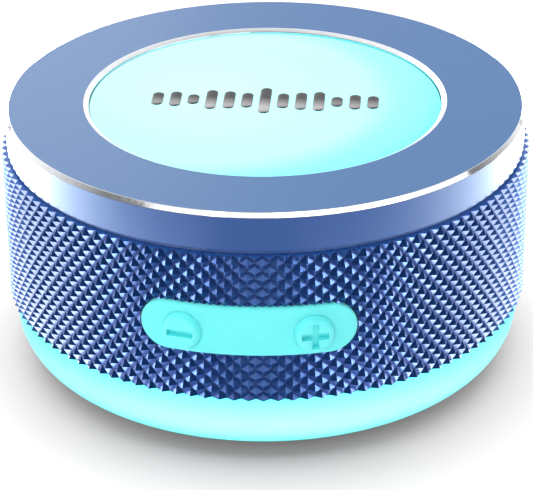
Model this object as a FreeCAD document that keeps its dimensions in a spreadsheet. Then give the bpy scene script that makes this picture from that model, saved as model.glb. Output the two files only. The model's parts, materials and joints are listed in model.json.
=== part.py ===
import FreeCAD, Part
import math
import os
import Sketcher

# A round portable loudspeaker that receives audio over Bluetooth.
# Millimetres, +Z up, origin in the middle of the plane it stands on.
# The key panel faces -Y and the charging port faces +Y.

Vector = FreeCAD.Vector
UP = Vector(0, 0, 1)

DRIVING = {
    # outside, radii
    "rim_radius": 42.0,
    "band_radius": 42.5,
    "window_radius": 29.7,
    "disc_radius": 28.8,
    "disc_flange_radius": 31.5,
    "knurl_radius": 43.45,
    "sleeve_bore": 39.9,
    "base_radius": 42.3,
    "panel_radius": 43.5,
    "panel_bore": 39.7,
    "seal_radius": 42.1,
    "fit_gap": 0.1,
    # outside, levels
    "base_low": 1.0,
    "base_high": 12.4,
    "knurl_high": 37.4,
    "band_low": 37.9,
    "top_level": 44.3,
    "chamfer_drop": 0.7,
    "disc_drop": 0.6,
    "plate_thickness": 1.6,
    "disc_plate": 1.2,
    "base_corner": 7.8,
    # emblem
    "emblem_height": 0.3,
    "emblem_pitch": 2.95,
    "emblem_half_width": 0.95,
    "emblem_half_length": 5.0,
    "emblem_least": 1.7,
    # keys and panels
    "panel_level": 24.6,
    "key_level": 24.1,
    "key_angle": 13.45,
    "key_radius": 3.0,
    "key_reach": 44.4,
    "key_back": 40.3,
    "key_gap": 0.2,
    "stem_radius": 1.25,
    "sign_depth": 0.35,
    "sign_stroke": 0.55,
    "sign_arm": 2.2,
    "panel_half_length": 16.77,
    "panel_half_height": 4.2,
    "rear_half_length": 18.0,
    "rear_half_height": 5.5,
    "port_level": 25.72,
    "port_half_width": 6.5,
    "port_half_height": 3.5,
    "switch_angle": 16.0,
    "lamp_angle": 15.0,
    "microphone_angle": 20.0,
    "slot_half_width": 2.8,
    "slot_half_height": 1.3,
    "lamp_radius": 0.95,
    "sound_radius": 0.5,
    "window_margin": 0.4,
    # chassis
    "chassis_radius": 39.6,
    "chassis_bore": 37.4,
    "chassis_low": 4.8,
    "chassis_floor": 7.2,
    "chassis_high": 38.0,
    "chassis_corner": 4.5,
    "driver_opening": 19.5,
    "post_circle": 30.0,
    "post_radius": 2.8,
    "boss_circle": 34.8,
    "boss_radius": 3.0,
    "boss_angle": 25.0,
    "boss_gap": 0.6,
    "deck_thickness": 1.8,
    "rib_bore": 38.2,
    "rib_radius": 39.8,
    "foam_bore": 20.0,
    "foam_radius": 30.5,
    # screws
    "screw_radius": 1.15,
    "thread_radius": 1.2,
    "clear_radius": 1.4,
    "screw_head": 2.0,
    "head_height": 1.3,
    "drive_radius": 0.75,
    "drive_depth": 0.75,
    "shank_length": 8.4,
    "thread_length": 9.4,
    "base_head_seat": 3.2,
    "driver_screw_circle": 22.5,
    "driver_screw_radius": 0.95,
    "driver_thread_radius": 1.0,
    "driver_hole_radius": 1.05,
    "driver_screw_head": 1.75,
    # foot and grille
    "foot_radius": 3.9,
    "foot_pocket": 0.8,
    "grille_radius": 26.0,
    "grille_opening": 24.0,
    "grille_low": 3.4,
    "grille_high": 4.2,
    "grille_pitch": 3.4,
    "grille_hole": 1.1,
    # loudspeaker
    "gasket_high": 7.8,
    "gasket_bore": 21.0,
    "gasket_radius": 24.0,
    "flange_radius": 24.5,
    "flange_high": 8.8,
    "shelf_low": 15.3,
    "shelf_high": 16.1,
    "ring_high": 17.3,
    "top_plate_high": 19.8,
    "magnet_high": 23.8,
    "yoke_high": 25.3,
    "pole_radius": 5.8,
    "former_bore": 6.2,
    "former_radius": 6.45,
    "coil_radius": 6.85,
    "magnet_radius": 15.0,
    "magnet_bore": 8.5,
    "plate_radius": 14.5,
    "coil_gap": 0.3,
    # electronics
    "board_low": 27.3,
    "board_high": 28.9,
    "board_radius": 36.5,
    "battery_low": 32.0,
    "battery_high": 37.5,
    "battery_length": 50.0,
    "battery_width": 34.0,
    "battery_corner": 2.0,
    "socket_height": 2.9,
    "plunger_radius": 1.0,
    "stem_gap": 0.5,
}


class Size:
    """A size that carries its number and its formula on the sheet."""

    def __init__(self, value, formula):
        self.value = value
        self.formula = formula

    def __add__(self, other):
        other = as_size(other)
        return Size(self.value + other.value, "(%s + %s)" % (self.formula, other.formula))

    def __sub__(self, other):
        other = as_size(other)
        return Size(self.value - other.value, "(%s - %s)" % (self.formula, other.formula))

    def __rsub__(self, other):
        return as_size(other) - self

    def __mul__(self, other):
        other = as_size(other)
        return Size(self.value * other.value, "(%s * %s)" % (self.formula, other.formula))

    def __neg__(self):
        return Size(-self.value, "(-1 * %s)" % self.formula)

    __radd__ = __add__
    __rmul__ = __mul__


def as_size(number):
    if isinstance(number, Size):
        return number
    return Size(float(number), "%r" % float(number))


def cosine(angle):
    angle = as_size(angle)
    return Size(math.cos(math.radians(angle.value)), "cos(%s)" % angle.formula)


def sine(angle):
    angle = as_size(angle)
    return Size(math.sin(math.radians(angle.value)), "sin(%s)" % angle.formula)


doc = FreeCAD.newDocument("loudspeaker")
sheet = doc.addObject("Spreadsheet::Sheet", "Dimensions")
for row, (alias, number) in enumerate(DRIVING.items(), start=1):
    sheet.set("A%d" % row, alias)
    sheet.set("B%d" % row, "%r" % number)
    sheet.setAlias("B%d" % row, alias)
doc.recompute()


def dim(alias):
    """The size in one cell of the sheet."""
    return Size(float(getattr(sheet, alias)), "Dimensions.%s" % alias)


def bind(thing, path, size):
    thing.setExpression(path, as_size(size).formula)


# ---------------------------------------------------------------- sketches

def new_body(label, turned_by=None):
    """A body; turned_by swings it round Z, which serves the pieces on the wall."""
    body = doc.addObject("PartDesign::Body", label)
    body.Label = label
    body.Placement = FreeCAD.Placement(Vector(), FreeCAD.Rotation(UP, 0))
    if turned_by is not None:
        body.Placement = FreeCAD.Placement(Vector(), FreeCAD.Rotation(UP, turned_by.value))
        bind(body, "Placement.Rotation.Angle", turned_by)
    return body


def new_sketch(body, role, name, level=None, azimuth=None):
    """A sketch on an origin plane: level lifts it, azimuth swings an XZ one round Z."""
    sketch = body.newObject("Sketcher::SketchObject", "%s_%s" % (body.Label, name))
    plane = [part for part in body.Origin.OriginFeatures if part.Role == role][0]
    sketch.AttachmentSupport = [(plane, "")]
    sketch.MapMode = "FlatFace"
    if azimuth is not None:
        turn = FreeCAD.Rotation(Vector(0, 1, 0), azimuth.value)
        sketch.AttachmentOffset = FreeCAD.Placement(Vector(), turn)
    if level is not None:
        bind(sketch, "AttachmentOffset.Base.z", level)
    return sketch


def pin_point(sketch, shape, end, x, y):
    """Hold one point of a shape at x, y from the sketch's origin."""
    for kind, axis, size in (("DistanceX", -2, as_size(x)), ("DistanceY", -1, as_size(y))):
        if abs(size.value) < 1e-9:
            sketch.addConstraint(Sketcher.Constraint("PointOnObject", shape, end, axis))
            continue
        limit = Sketcher.Constraint(kind, -1, 1, shape, end, size.value)
        number = sketch.addConstraint(limit)
        bind(sketch, "Constraints[%d]" % number, size)


def pin_radius(sketch, shape, radius):
    number = sketch.addConstraint(Sketcher.Constraint("Radius", shape, radius.value))
    bind(sketch, "Constraints[%d]" % number, radius)


def draw_outline(sketch, points):
    """A closed outline of straight lines through the points."""
    points = [(as_size(x), as_size(y)) for x, y in points]
    corners = [Vector(x.value, y.value, 0) for x, y in points]
    count = len(points)
    lines = []
    for i in range(count):
        line = Part.LineSegment(corners[i], corners[(i + 1) % count])
        lines.append(sketch.addGeometry(line, False))
    for i in range(count):
        joined = Sketcher.Constraint("Coincident", lines[i], 2, lines[(i + 1) % count], 1)
        sketch.addConstraint(joined)
    for line, (x, y) in zip(lines, points):
        pin_point(sketch, line, 1, x, y)


def draw_box(sketch, half_x, half_y, x=0, y=0):
    x, y = as_size(x), as_size(y)
    draw_outline(sketch, [
        (x - half_x, y - half_y), (x + half_x, y - half_y),
        (x + half_x, y + half_y), (x - half_x, y + half_y),
    ])


def draw_circle(sketch, radius, x=0, y=0):
    radius, x, y = as_size(radius), as_size(x), as_size(y)
    circle = Part.Circle(Vector(x.value, y.value, 0), UP, radius.value)
    shape = sketch.addGeometry(circle, False)
    pin_radius(sketch, shape, radius)
    pin_point(sketch, shape, 3, x, y)


def draw_stadium(sketch, half_length, radius, y):
    """Two half circles joined by level lines, its long way along x."""
    half_length, radius, y = as_size(half_length), as_size(radius), as_size(y)
    reach = half_length - radius
    caps = []
    for side, start in ((1, -0.5), (-1, 0.5)):
        centre = Vector(side * reach.value, y.value, 0)
        circle = Part.Circle(centre, UP, radius.value)
        arc = Part.ArcOfCircle(circle, start * math.pi, (start + 1) * math.pi)
        caps.append(sketch.addGeometry(arc, False))
        pin_radius(sketch, caps[-1], radius)
        pin_point(sketch, caps[-1], 3, reach if side > 0 else -reach, y)
    for first, second, height in ((0, 1, radius.value), (1, 0, -radius.value)):
        side = 1 if first == 0 else -1
        line = sketch.addGeometry(Part.LineSegment(
            Vector(side * reach.value, y.value + height, 0),
            Vector(-side * reach.value, y.value + height, 0)), False)
        sketch.addConstraint(Sketcher.Constraint("Coincident", caps[first], 2, line, 1))
        sketch.addConstraint(Sketcher.Constraint("Coincident", line, 2, caps[second], 1))
    for cap in caps:
        for end in (1, 2):
            sketch.addConstraint(Sketcher.Constraint("Vertical", cap, 3, cap, end))


# ---------------------------------------------------------------- features

def turn_solid(body, points, name="profile"):
    """Revolve an outline of (radius, level) points round the Z axis."""
    sketch = new_sketch(body, "XZ_Plane", name)
    draw_outline(sketch, points)
    feature = body.newObject("PartDesign::Revolution", "%s_turned" % body.Label)
    feature.Profile = sketch
    feature.ReferenceAxis = (sketch, ["V_Axis"])
    feature.Angle = 360
    doc.recompute()
    return feature


def pad_up(body, name, low, high, draw):
    """Raise what draw() puts in a level sketch from low to high."""
    low, high = as_size(low), as_size(high)
    sketch = new_sketch(body, "XY_Plane", name, level=low)
    draw(sketch)
    feature = body.newObject("PartDesign::Pad", "%s_%s_pad" % (body.Label, name))
    feature.Profile = sketch
    bind(feature, "Length", high - low)
    doc.recompute()
    return feature


def cut_down(body, name, low, high, draw):
    """Cut what draw() puts in a level sketch from high down to low."""
    low, high = as_size(low), as_size(high)
    before = body.Shape.Volume
    sketch = new_sketch(body, "XY_Plane", name, level=high)
    draw(sketch)
    feature = body.newObject("PartDesign::Pocket", "%s_%s_cut" % (body.Label, name))
    feature.Profile = sketch
    bind(feature, "Length", high - low)
    doc.recompute()
    require_cut(body, name, before)
    return feature


def cut_outward(body, name, reach, draw, azimuth=0):
    """Cut from the Z axis out through the wall; azimuth is counted from -Y towards +X."""
    before = body.Shape.Volume
    sketch = new_sketch(body, "XZ_Plane", name, azimuth=as_size(azimuth))
    draw(sketch)
    feature = body.newObject("PartDesign::Pocket", "%s_%s_cut" % (body.Label, name))
    feature.Profile = sketch
    feature.Reversed = True
    bind(feature, "Length", reach)
    doc.recompute()
    require_cut(body, name, before)
    return feature


def require_cut(body, name, before):
    if not body.Shape.Volume < before - 1e-3:
        raise RuntimeError("%s: %s removed nothing" % (body.Label, name))


def pad_outward(body, name, near, far, draw):
    """Grow a shape along -Y from the distance near to the distance far."""
    near, far = as_size(near), as_size(far)
    sketch = new_sketch(body, "XZ_Plane", name, level=near)
    draw(sketch)
    feature = body.newObject("PartDesign::Pad", "%s_%s_pad" % (body.Label, name))
    feature.Profile = sketch
    bind(feature, "Length", far - near)
    doc.recompute()
    return feature


def cut_inward(body, name, near, far, draw):
    """Cut a shape that lies along -Y, from the distance far back to near."""
    near, far = as_size(near), as_size(far)
    before = body.Shape.Volume
    sketch = new_sketch(body, "XZ_Plane", name, level=far)
    draw(sketch)
    feature = body.newObject("PartDesign::Pocket", "%s_%s_cut" % (body.Label, name))
    feature.Profile = sketch
    bind(feature, "Length", far - near)
    doc.recompute()
    require_cut(body, name, before)
    return feature


def round_edges(body, radius, wanted):
    """Fillet the edges that wanted() picks out of the body's tip."""
    base = body.Tip
    names = []
    for number, edge in enumerate(base.Shape.Edges, start=1):
        if wanted(edge):
            names.append("Edge%d" % number)
    if not names:
        raise RuntimeError("%s has no such edge to round" % body.Label)
    feature = body.newObject("PartDesign::Fillet", "%s_rounded" % body.Label)
    feature.Base = (base, names)
    bind(feature, "Radius", radius)
    doc.recompute()
    return feature


def level_circle(radius, level):
    """Tells whether an edge is the level circle of that radius and height."""
    def wanted(edge):
        curve = edge.Curve
        if not isinstance(curve, Part.Circle):
            return False
        return abs(curve.Radius - radius.value) < 1e-4 and abs(curve.Center.z - level.value) < 1e-4
    return wanted


def ring_of(circle, angles):
    """Centres on a circle at the given angles, counted from +X towards +Y."""
    return [(circle * cosine(angle), circle * sine(angle)) for angle in angles]


def circles(radius, centres):
    def draw(sketch):
        for x, y in centres:
            draw_circle(sketch, radius, x, y)
    return draw


def boxes(half_x, half_y, centres):
    def draw(sketch):
        for x, y in centres:
            draw_box(sketch, half_x, half_y, x, y)
    return draw


def add_screws(body, seat, centres):
    """Shanks below the seat and recessed heads above it."""
    high = seat + dim("head_height")
    pad_up(body, "shanks", seat - dim("shank_length"), seat, circles(dim("screw_radius"), centres))
    pad_up(body, "heads", seat, high, circles(dim("screw_head"), centres))
    cut_down(body, "drive", high - dim("drive_depth"), high, circles(dim("drive_radius"), centres))


AXIS = [(0, 0)]
CORNER_ANGLES = (45, 135, 225, 315)
QUARTER_ANGLES = (0, 90, 180, 270)
POSTS = ring_of(dim("post_circle"), CORNER_ANGLES)
BOSS_ANGLES = (
    dim("boss_angle"), 180 - dim("boss_angle"),
    180 + dim("boss_angle"), 360 - dim("boss_angle"),
)
BOSSES = ring_of(dim("boss_circle"), BOSS_ANGLES)
DRIVER_SCREWS = ring_of(dim("driver_screw_circle"), QUARTER_ANGLES)
REAR = 180
WIRE_THICKNESS = 1.2


# ---------------------------------------------------------------- top

def make_top_bezel_ring():
    """Metal ring: flat satin face, bevelled window and a straight outer band."""
    top = dim("top_level")
    under = top - dim("plate_thickness")
    window_low = dim("disc_radius") + dim("fit_gap")
    band_bore = dim("rim_radius") - 1.1
    bevel_low = top - dim("disc_drop") + 0.2
    body = new_body("top_bezel_ring")
    turn_solid(body, [
        (window_low, under),
        (band_bore, under),
        (band_bore, dim("band_low")),
        (dim("band_radius"), dim("band_low")),
        (dim("band_radius"), top - dim("chamfer_drop")),
        (dim("rim_radius"), top),
        (dim("window_radius"), top),
        (window_low, bevel_low),
    ])
    return body


def make_top_disc():
    """Glossy disc held up against the ring's underside by its flange."""
    surface = dim("top_level") - dim("disc_drop")
    under = dim("top_level") - dim("plate_thickness")
    low = under - dim("disc_plate")
    body = new_body("top_disc")
    turn_solid(body, [
        (0, low),
        (dim("disc_flange_radius"), low),
        (dim("disc_flange_radius"), under),
        (dim("disc_radius"), under),
        (dim("disc_radius"), surface),
        (0, surface),
    ])
    return body


def make_disc_emblem():
    """A row of polished waveform bars standing on the disc."""
    surface = dim("top_level") - dim("disc_drop")
    bars_each_side = 6
    beat = 1.15
    least, most = dim("emblem_least"), dim("emblem_half_length")

    def draw(sketch):
        for step in range(-bars_each_side, bars_each_side + 1):
            swing = abs(math.cos(step * beat))
            fade = 1 - abs(step) / (bars_each_side + 2.5)
            half_length = least + (most - least) * (swing * fade)
            draw_box(sketch, dim("emblem_half_width"), half_length, dim("emblem_pitch") * step, 0)

    body = new_body("disc_emblem")
    pad_up(body, "bars", surface, surface + dim("emblem_height"), draw)
    return body


def make_disc_foam_pad():
    body = new_body("disc_foam_pad")
    low = dim("chassis_high") + dim("deck_thickness")
    high = dim("top_level") - dim("plate_thickness") - dim("disc_plate")
    inner, outer = dim("foam_bore"), dim("foam_radius")
    turn_solid(body, [(inner, low), (outer, low), (outer, high), (inner, high)])
    return body


def make_top_deck():
    """Inner lid under the ring, with a rib that carries the ring."""
    low = dim("chassis_high")
    high = low + dim("deck_thickness")
    under = dim("top_level") - dim("plate_thickness")
    edge = dim("rim_radius") - 1.3
    rib_inner, rib_outer = dim("rib_bore"), dim("rib_radius")
    body = new_body("top_deck")
    turn_solid(body, [
        (0, low), (edge, low), (edge, high), (rib_outer, high),
        (rib_outer, under), (rib_inner, under), (rib_inner, high), (0, high),
    ])
    cut_down(body, "screw_holes", low, high, circles(dim("clear_radius"), BOSSES))
    return body


def make_deck_screws():
    seat = dim("chassis_high") + dim("deck_thickness")
    body = new_body("deck_screws")
    add_screws(body, seat, BOSSES)
    return body


def make_bezel_seal():
    """Soft ring that fills the dark gap between the band and the knurl."""
    low, high = dim("knurl_high"), dim("band_low")
    inner, outer = dim("sleeve_bore"), dim("seal_radius")
    body = new_body("bezel_seal")
    turn_solid(body, [(inner, low), (outer, low), (outer, high), (inner, high)])
    return body


# ---------------------------------------------------------------- wall

def make_knurled_sleeve():
    """Wall sleeve; its outer radius is that of the knurl's points."""
    low, high = dim("base_high"), dim("knurl_high")
    inner, outer = dim("sleeve_bore"), dim("knurl_radius")
    level = dim("panel_level")
    body = new_body("knurled_sleeve")
    turn_solid(body, [(inner, low), (outer, low), (outer, high), (inner, high)])
    for name, half_length, half_height, azimuth in (
            ("front_opening", dim("panel_half_length"), dim("panel_half_height"), 0),
            ("rear_opening", dim("rear_half_length"), dim("rear_half_height"), REAR)):
        cut_outward(body, name, outer + 2, lambda sketch: draw_stadium(
            sketch, half_length + dim("fit_gap"), half_height + dim("fit_gap"), level), azimuth)
    return body


def curved_panel(label, half_length, half_height, azimuth):
    """A stadium cut from a wall: its face and back follow the sleeve."""
    inner, outer = dim("panel_bore"), dim("panel_radius")
    level = dim("panel_level")
    low, high = level - 2 * half_height, level + 2 * half_height
    body = new_body(label)
    turn_solid(body, [(inner, low), (outer, low), (outer, high), (inner, high)])

    def surround(sketch):
        draw_box(sketch, outer + 4, 3 * half_height, 0, level)
        draw_stadium(sketch, half_length, half_height, level)

    cut_outward(body, "outline", outer + 2, surround, azimuth)
    cut_outward(body, "other_half", outer + 2, lambda sketch: draw_box(
        sketch, outer + 4, 3 * half_height, 0, level), (azimuth + 180) % 360)
    return body


def make_button_panel():
    body = curved_panel("button_panel", dim("panel_half_length"), dim("panel_half_height"), 0)
    hole = dim("key_radius") + dim("key_gap")
    for name, azimuth in (("minus_hole", -dim("key_angle")), ("plus_hole", dim("key_angle"))):
        cut_outward(body, name, dim("panel_radius") + 2, lambda sketch: draw_circle(
            sketch, hole, 0, dim("key_level")), azimuth)
    return body


def make_key(label, side, has_upright):
    """A round key with a sunk sign; its stem passes in through the chassis wall."""
    level = dim("key_level")
    stroke, arm = dim("sign_stroke"), dim("sign_arm")
    body = new_body(label, turned_by=dim("key_angle") * side)
    plunger_face = dim("chassis_bore") - dim("stem_gap")
    pad_outward(body, "head", dim("key_back"), dim("key_reach"), lambda sketch: draw_circle(
        sketch, dim("key_radius"), 0, level))
    pad_outward(body, "stem", plunger_face, dim("key_back"), lambda sketch: draw_circle(
        sketch, dim("stem_radius"), 0, level))

    def sign(sketch):
        if not has_upright:
            draw_box(sketch, arm, stroke, 0, level)
            return
        draw_outline(sketch, [
            (-stroke, level - arm), (stroke, level - arm), (stroke, level - stroke),
            (arm, level - stroke), (arm, level + stroke), (stroke, level + stroke),
            (stroke, level + arm), (-stroke, level + arm), (-stroke, level + stroke),
            (-arm, level + stroke), (-arm, level - stroke), (-stroke, level - stroke),
        ])

    cut_inward(body, "sign", dim("key_reach") - dim("sign_depth"), dim("key_reach"), sign)
    return body


def make_rear_port_panel():
    """Rear panel with the charging recess, the switch slot, a lamp and a sound hole."""
    body = curved_panel("rear_port_panel", dim("rear_half_length"), dim("rear_half_height"), REAR)
    reach = dim("panel_radius") + 2
    port = dim("port_level")
    cut_outward(body, "port_recess", reach, lambda sketch: draw_stadium(
        sketch, dim("port_half_width"), dim("port_half_height"), port), REAR)
    cut_outward(body, "switch_slot", reach, lambda sketch: draw_box(
        sketch, dim("slot_half_width"), dim("slot_half_height"), 0, port),
        REAR - dim("switch_angle"))
    cut_small_holes(body, reach)
    return body


def cut_small_holes(body, reach):
    """The lamp's hole and the sound hole, side by side in the rear wall."""
    port = dim("port_level")
    cut_outward(body, "lamp_hole", reach, lambda sketch: draw_circle(
        sketch, dim("lamp_radius"), 0, port), REAR + dim("lamp_angle"))
    cut_outward(body, "sound_hole", reach, lambda sketch: draw_circle(
        sketch, dim("sound_radius"), 0, port), REAR + dim("microphone_angle"))


# ---------------------------------------------------------------- base

def make_base_shell():
    """Soft base with a large rounded lower edge and a sound opening in its floor."""
    low, high = dim("base_low"), dim("base_high")
    outer, inner = dim("base_radius"), dim("sleeve_bore")
    floor = dim("chassis_low")
    recess = dim("grille_radius") + 0.2
    body = new_body("base_shell")
    turn_solid(body, [
        (dim("grille_opening"), low), (outer, low), (outer, high), (inner, high),
        (inner, floor), (recess, floor), (recess, dim("grille_low")),
        (dim("grille_opening"), dim("grille_low")),
    ])
    round_edges(body, dim("base_corner"), level_circle(outer, low))
    round_edges(body, dim("chassis_corner") + 0.3, level_circle(inner, floor))
    pocket_top = low + dim("foot_pocket")
    seat = dim("base_head_seat")
    pocket_radius = dim("foot_radius") + dim("fit_gap")
    cut_down(body, "foot_pockets", low, pocket_top, circles(pocket_radius, POSTS))
    cut_down(body, "head_recesses", pocket_top, seat, circles(dim("screw_head") + 0.2, POSTS))
    cut_down(body, "screw_holes", seat, floor, circles(dim("clear_radius"), POSTS))
    return body


def make_foot_pads():
    body = new_body("foot_pads")
    top = dim("base_low") + dim("foot_pocket")
    pad_up(body, "pads", 0, top, circles(dim("foot_radius"), POSTS))
    return body


def make_base_screws():
    """Upside down: their heads sit in the base's floor above the feet."""
    seat = dim("base_head_seat")
    low = seat - dim("head_height")
    tip = seat + dim("shank_length")
    body = new_body("base_screws")
    pad_up(body, "heads", low, seat, circles(dim("screw_head"), POSTS))
    pad_up(body, "shanks", seat, tip, circles(dim("screw_radius"), POSTS))
    cut_down(body, "drive", low, low + dim("drive_depth"), circles(dim("drive_radius"), POSTS))
    return body


def make_bottom_grille():
    """Pierced disc: rings of round holes, six more in each ring outwards."""
    low, high = dim("grille_low"), dim("grille_high")
    rings = 6
    body = new_body("bottom_grille")
    pad_up(body, "plate", low, high, circles(dim("grille_radius"), AXIS))
    cut_down(body, "middle_hole", low, high, circles(dim("grille_hole"), AXIS))
    for ring in range(1, rings + 1):
        first = [(dim("grille_pitch") * ring, 0)]
        hole = cut_down(body, "hole_%d" % ring, low, high, circles(dim("grille_hole"), first))
        pattern = body.newObject("PartDesign::PolarPattern", "bottom_grille_ring_%d" % ring)
        pattern.Originals = [hole]
        pattern.Axis = (hole.Profile[0], ["N_Axis"])
        pattern.Angle = 360
        pattern.Occurrences = 6 * ring
        body.Tip = pattern
        doc.recompute()
    return body


def make_grille_gasket():
    low, high = dim("grille_high"), dim("chassis_low")
    inner, outer = dim("grille_opening"), dim("grille_radius")
    body = new_body("grille_gasket")
    turn_solid(body, [(inner, low), (outer, low), (outer, high), (inner, high)])
    return body


# ---------------------------------------------------------------- chassis

def make_inner_chassis():
    """Sealed cup that carries the driver, the board and the top deck."""
    low, floor, high = dim("chassis_low"), dim("chassis_floor"), dim("chassis_high")
    outer, inner = dim("chassis_radius"), dim("chassis_bore")
    body = new_body("inner_chassis")
    turn_solid(body, [
        (dim("driver_opening"), low), (outer, low), (outer, high), (inner, high),
        (inner, floor), (dim("driver_opening"), floor),
    ])
    round_edges(body, dim("chassis_corner"), level_circle(outer, low))
    pad_up(body, "posts", floor, dim("board_low"), circles(dim("post_radius"), POSTS))
    boss_low = dim("board_high") + dim("boss_gap")
    pad_up(body, "bosses", boss_low, high, circles(dim("boss_radius"), BOSSES))
    base_end = low + dim("thread_length") - 1.2
    board_low = dim("board_low")
    board_end = board_low - dim("thread_length") + 1.6
    thread = dim("thread_radius")
    cut_down(body, "base_threads", low, base_end, circles(thread, POSTS))
    cut_down(body, "board_threads", board_end, board_low, circles(thread, POSTS))
    cut_down(body, "deck_threads", boss_low, high, circles(thread, BOSSES))
    driver_thread_low = floor - 1.8
    cut_down(body, "driver_threads", driver_thread_low, floor,
             circles(dim("driver_thread_radius"), DRIVER_SCREWS))
    reach = outer + 1
    for name, azimuth in (("minus_hole", -dim("key_angle")), ("plus_hole", dim("key_angle"))):
        cut_outward(body, name, reach, lambda sketch: draw_circle(
            sketch, dim("stem_radius") + dim("key_gap") + 0.1, 0, dim("key_level")), azimuth)
    port = dim("port_level")
    margin = dim("window_margin")
    cut_outward(body, "port_window", reach, lambda sketch: draw_box(
        sketch, dim("port_half_width") + margin, dim("port_half_height") + margin, 0, port), REAR)
    cut_outward(body, "switch_window", reach, lambda sketch: draw_box(
        sketch, dim("slot_half_width") + margin, dim("slot_half_height") + margin, 0, port),
        REAR - dim("switch_angle"))
    cut_small_holes(body, reach)
    return body


# ---------------------------------------------------------------- loudspeaker

def make_driver_gasket():
    low, high = dim("chassis_floor"), dim("gasket_high")
    body = new_body("driver_gasket")
    inner, outer = dim("gasket_bore"), dim("gasket_radius")
    turn_solid(body, [(inner, low), (outer, low), (outer, high), (inner, high)])
    cut_down(body, "holes", low, high, circles(dim("driver_hole_radius"), DRIVER_SCREWS))
    return body


def make_driver_basket():
    """Steel frame: flange, sloping wall with windows, shelf for the spider, top ring."""
    low, flange = dim("gasket_high"), dim("flange_high")
    shelf_low, shelf_high = dim("shelf_low"), dim("shelf_high")
    ring_high, ring_outer, ring_inner = dim("ring_high"), dim("plate_radius"), 13.0
    mouth, shoulder, waist = 19.2, 20.0, 16.0
    shelf_inner, shelf_outer = 12.0, 15.4
    body = new_body("driver_basket")
    turn_solid(body, [
        (mouth, low), (dim("flange_radius"), low), (dim("flange_radius"), flange),
        (shoulder, flange), (waist, shelf_high), (ring_outer, shelf_high),
        (ring_outer, ring_high), (ring_inner, ring_high), (ring_inner, shelf_high),
        (shelf_inner, shelf_high), (shelf_inner, shelf_low), (shelf_outer, shelf_low),
    ])
    cut_down(body, "holes", low, flange, circles(dim("driver_hole_radius"), DRIVER_SCREWS))
    window_half_width, window_half_height, window_level = 5.0, 1.9, 12.2
    for number, angle in enumerate(CORNER_ANGLES):
        cut_outward(body, "window_%d" % number, dim("magnet_radius") * 2, lambda sketch: draw_box(
            sketch, window_half_width, window_half_height, 0, window_level), angle)
    return body


def make_driver_screws():
    flange = dim("flange_high")
    tip = dim("chassis_floor") - 1.6
    shank, head = dim("driver_screw_radius"), dim("driver_screw_head")
    body = new_body("driver_screws")
    pad_up(body, "shanks", tip, flange, circles(shank, DRIVER_SCREWS))
    pad_up(body, "heads", flange, flange + 1.1, circles(head, DRIVER_SCREWS))
    return body


def make_driver_surround():
    """Rubber edge from the flange's front face in to the cone, rising all the way."""
    low = dim("gasket_high") - 0.4
    body = new_body("driver_surround")
    turn_solid(body, [
        (20.8, low), (20.8, low + 0.4), (19.15, low + 0.4), (18.3, low + 1.25),
        (17.15, low + 1.85), (17.15, low + 1.5), (18.05, low + 1.0), (18.95, low),
    ])
    return body


def make_driver_cone():
    body = new_body("driver_cone")
    inner = dim("former_radius")
    turn_solid(body, [
        (17.1, 8.8), (17.1, 9.2), (16.2, 9.6), (inner + 0.5, 13.7), (inner, 13.7),
        (inner, 13.2), (16.0, 9.2), (16.4, 8.8),
    ])
    return body


def make_driver_dust_cap():
    """Shallow dome that closes the cone's neck, bulging towards the listener."""
    body = new_body("driver_dust_cap")
    turn_solid(body, [
        (0, 10.6), (2.4, 10.8), (4.8, 11.4), (6.6, 12.2), (7.4, 12.75),
        (7.0, 12.88), (6.4, 12.5), (4.6, 11.75), (2.3, 11.15), (0, 10.95),
    ])
    return body


def make_driver_voice_coil_former():
    body = new_body("driver_voice_coil_former")
    inner, outer = dim("former_bore"), dim("former_radius")
    low, high = 13.25, 22.5
    turn_solid(body, [(inner, low), (outer, low), (outer, high), (inner, high)])
    return body


def make_driver_voice_coil():
    body = new_body("driver_voice_coil")
    inner, outer = dim("former_radius"), dim("coil_radius")
    low, high = 16.8, 20.3
    turn_solid(body, [(inner, low), (outer, low), (outer, high), (inner, high)])
    return body


def make_driver_spider():
    """Corrugated disc that centres the former, hung under the basket's shelf."""
    body = new_body("driver_spider")
    shelf = dim("shelf_low")
    turn_solid(body, [
        (14.0, shelf - 0.25), (14.0, shelf), (12.2, shelf), (10.6, shelf - 0.1),
        (9.0, shelf - 0.3), (6.55, shelf - 0.45), (6.55, shelf - 0.7),
        (9.0, shelf - 0.55), (10.6, shelf - 0.35), (12.2, shelf - 0.25),
    ])
    return body


def make_driver_top_plate():
    body = new_body("driver_top_plate")
    low, high = dim("ring_high"), dim("top_plate_high")
    inner, outer = dim("coil_radius") + dim("coil_gap"), dim("plate_radius")
    turn_solid(body, [(inner, low), (outer, low), (outer, high), (inner, high)])
    return body


def make_driver_magnet():
    body = new_body("driver_magnet")
    low, high = dim("top_plate_high"), dim("magnet_high")
    inner, outer = dim("magnet_bore"), dim("magnet_radius")
    turn_solid(body, [(inner, low), (outer, low), (outer, high), (inner, high)])
    return body


def make_driver_yoke():
    """Back plate with the pole that stands inside the voice coil."""
    body = new_body("driver_yoke")
    low, high = dim("magnet_high"), dim("yoke_high")
    pole, outer = dim("pole_radius"), dim("plate_radius")
    turn_solid(body, [
        (0, dim("ring_high")), (pole, dim("ring_high")), (pole, low), (outer, low),
        (outer, high), (0, high),
    ])
    return body


def make_driver_terminals():
    """Two solder tags on an insulating strip at the basket's rear."""
    body = new_body("driver_terminals")
    shelf = dim("shelf_high")
    strip_high = shelf + 0.8
    tag_high = strip_high + 0.4
    tag_places = [(-2.5, 16.9), (2.5, 16.9)]
    pad_up(body, "strip", shelf, strip_high, boxes(4, 1.6, [(0, 16.2)]))
    pad_up(body, "tags", strip_high, tag_high, boxes(1.0, 1.9, tag_places))
    return body


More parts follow.
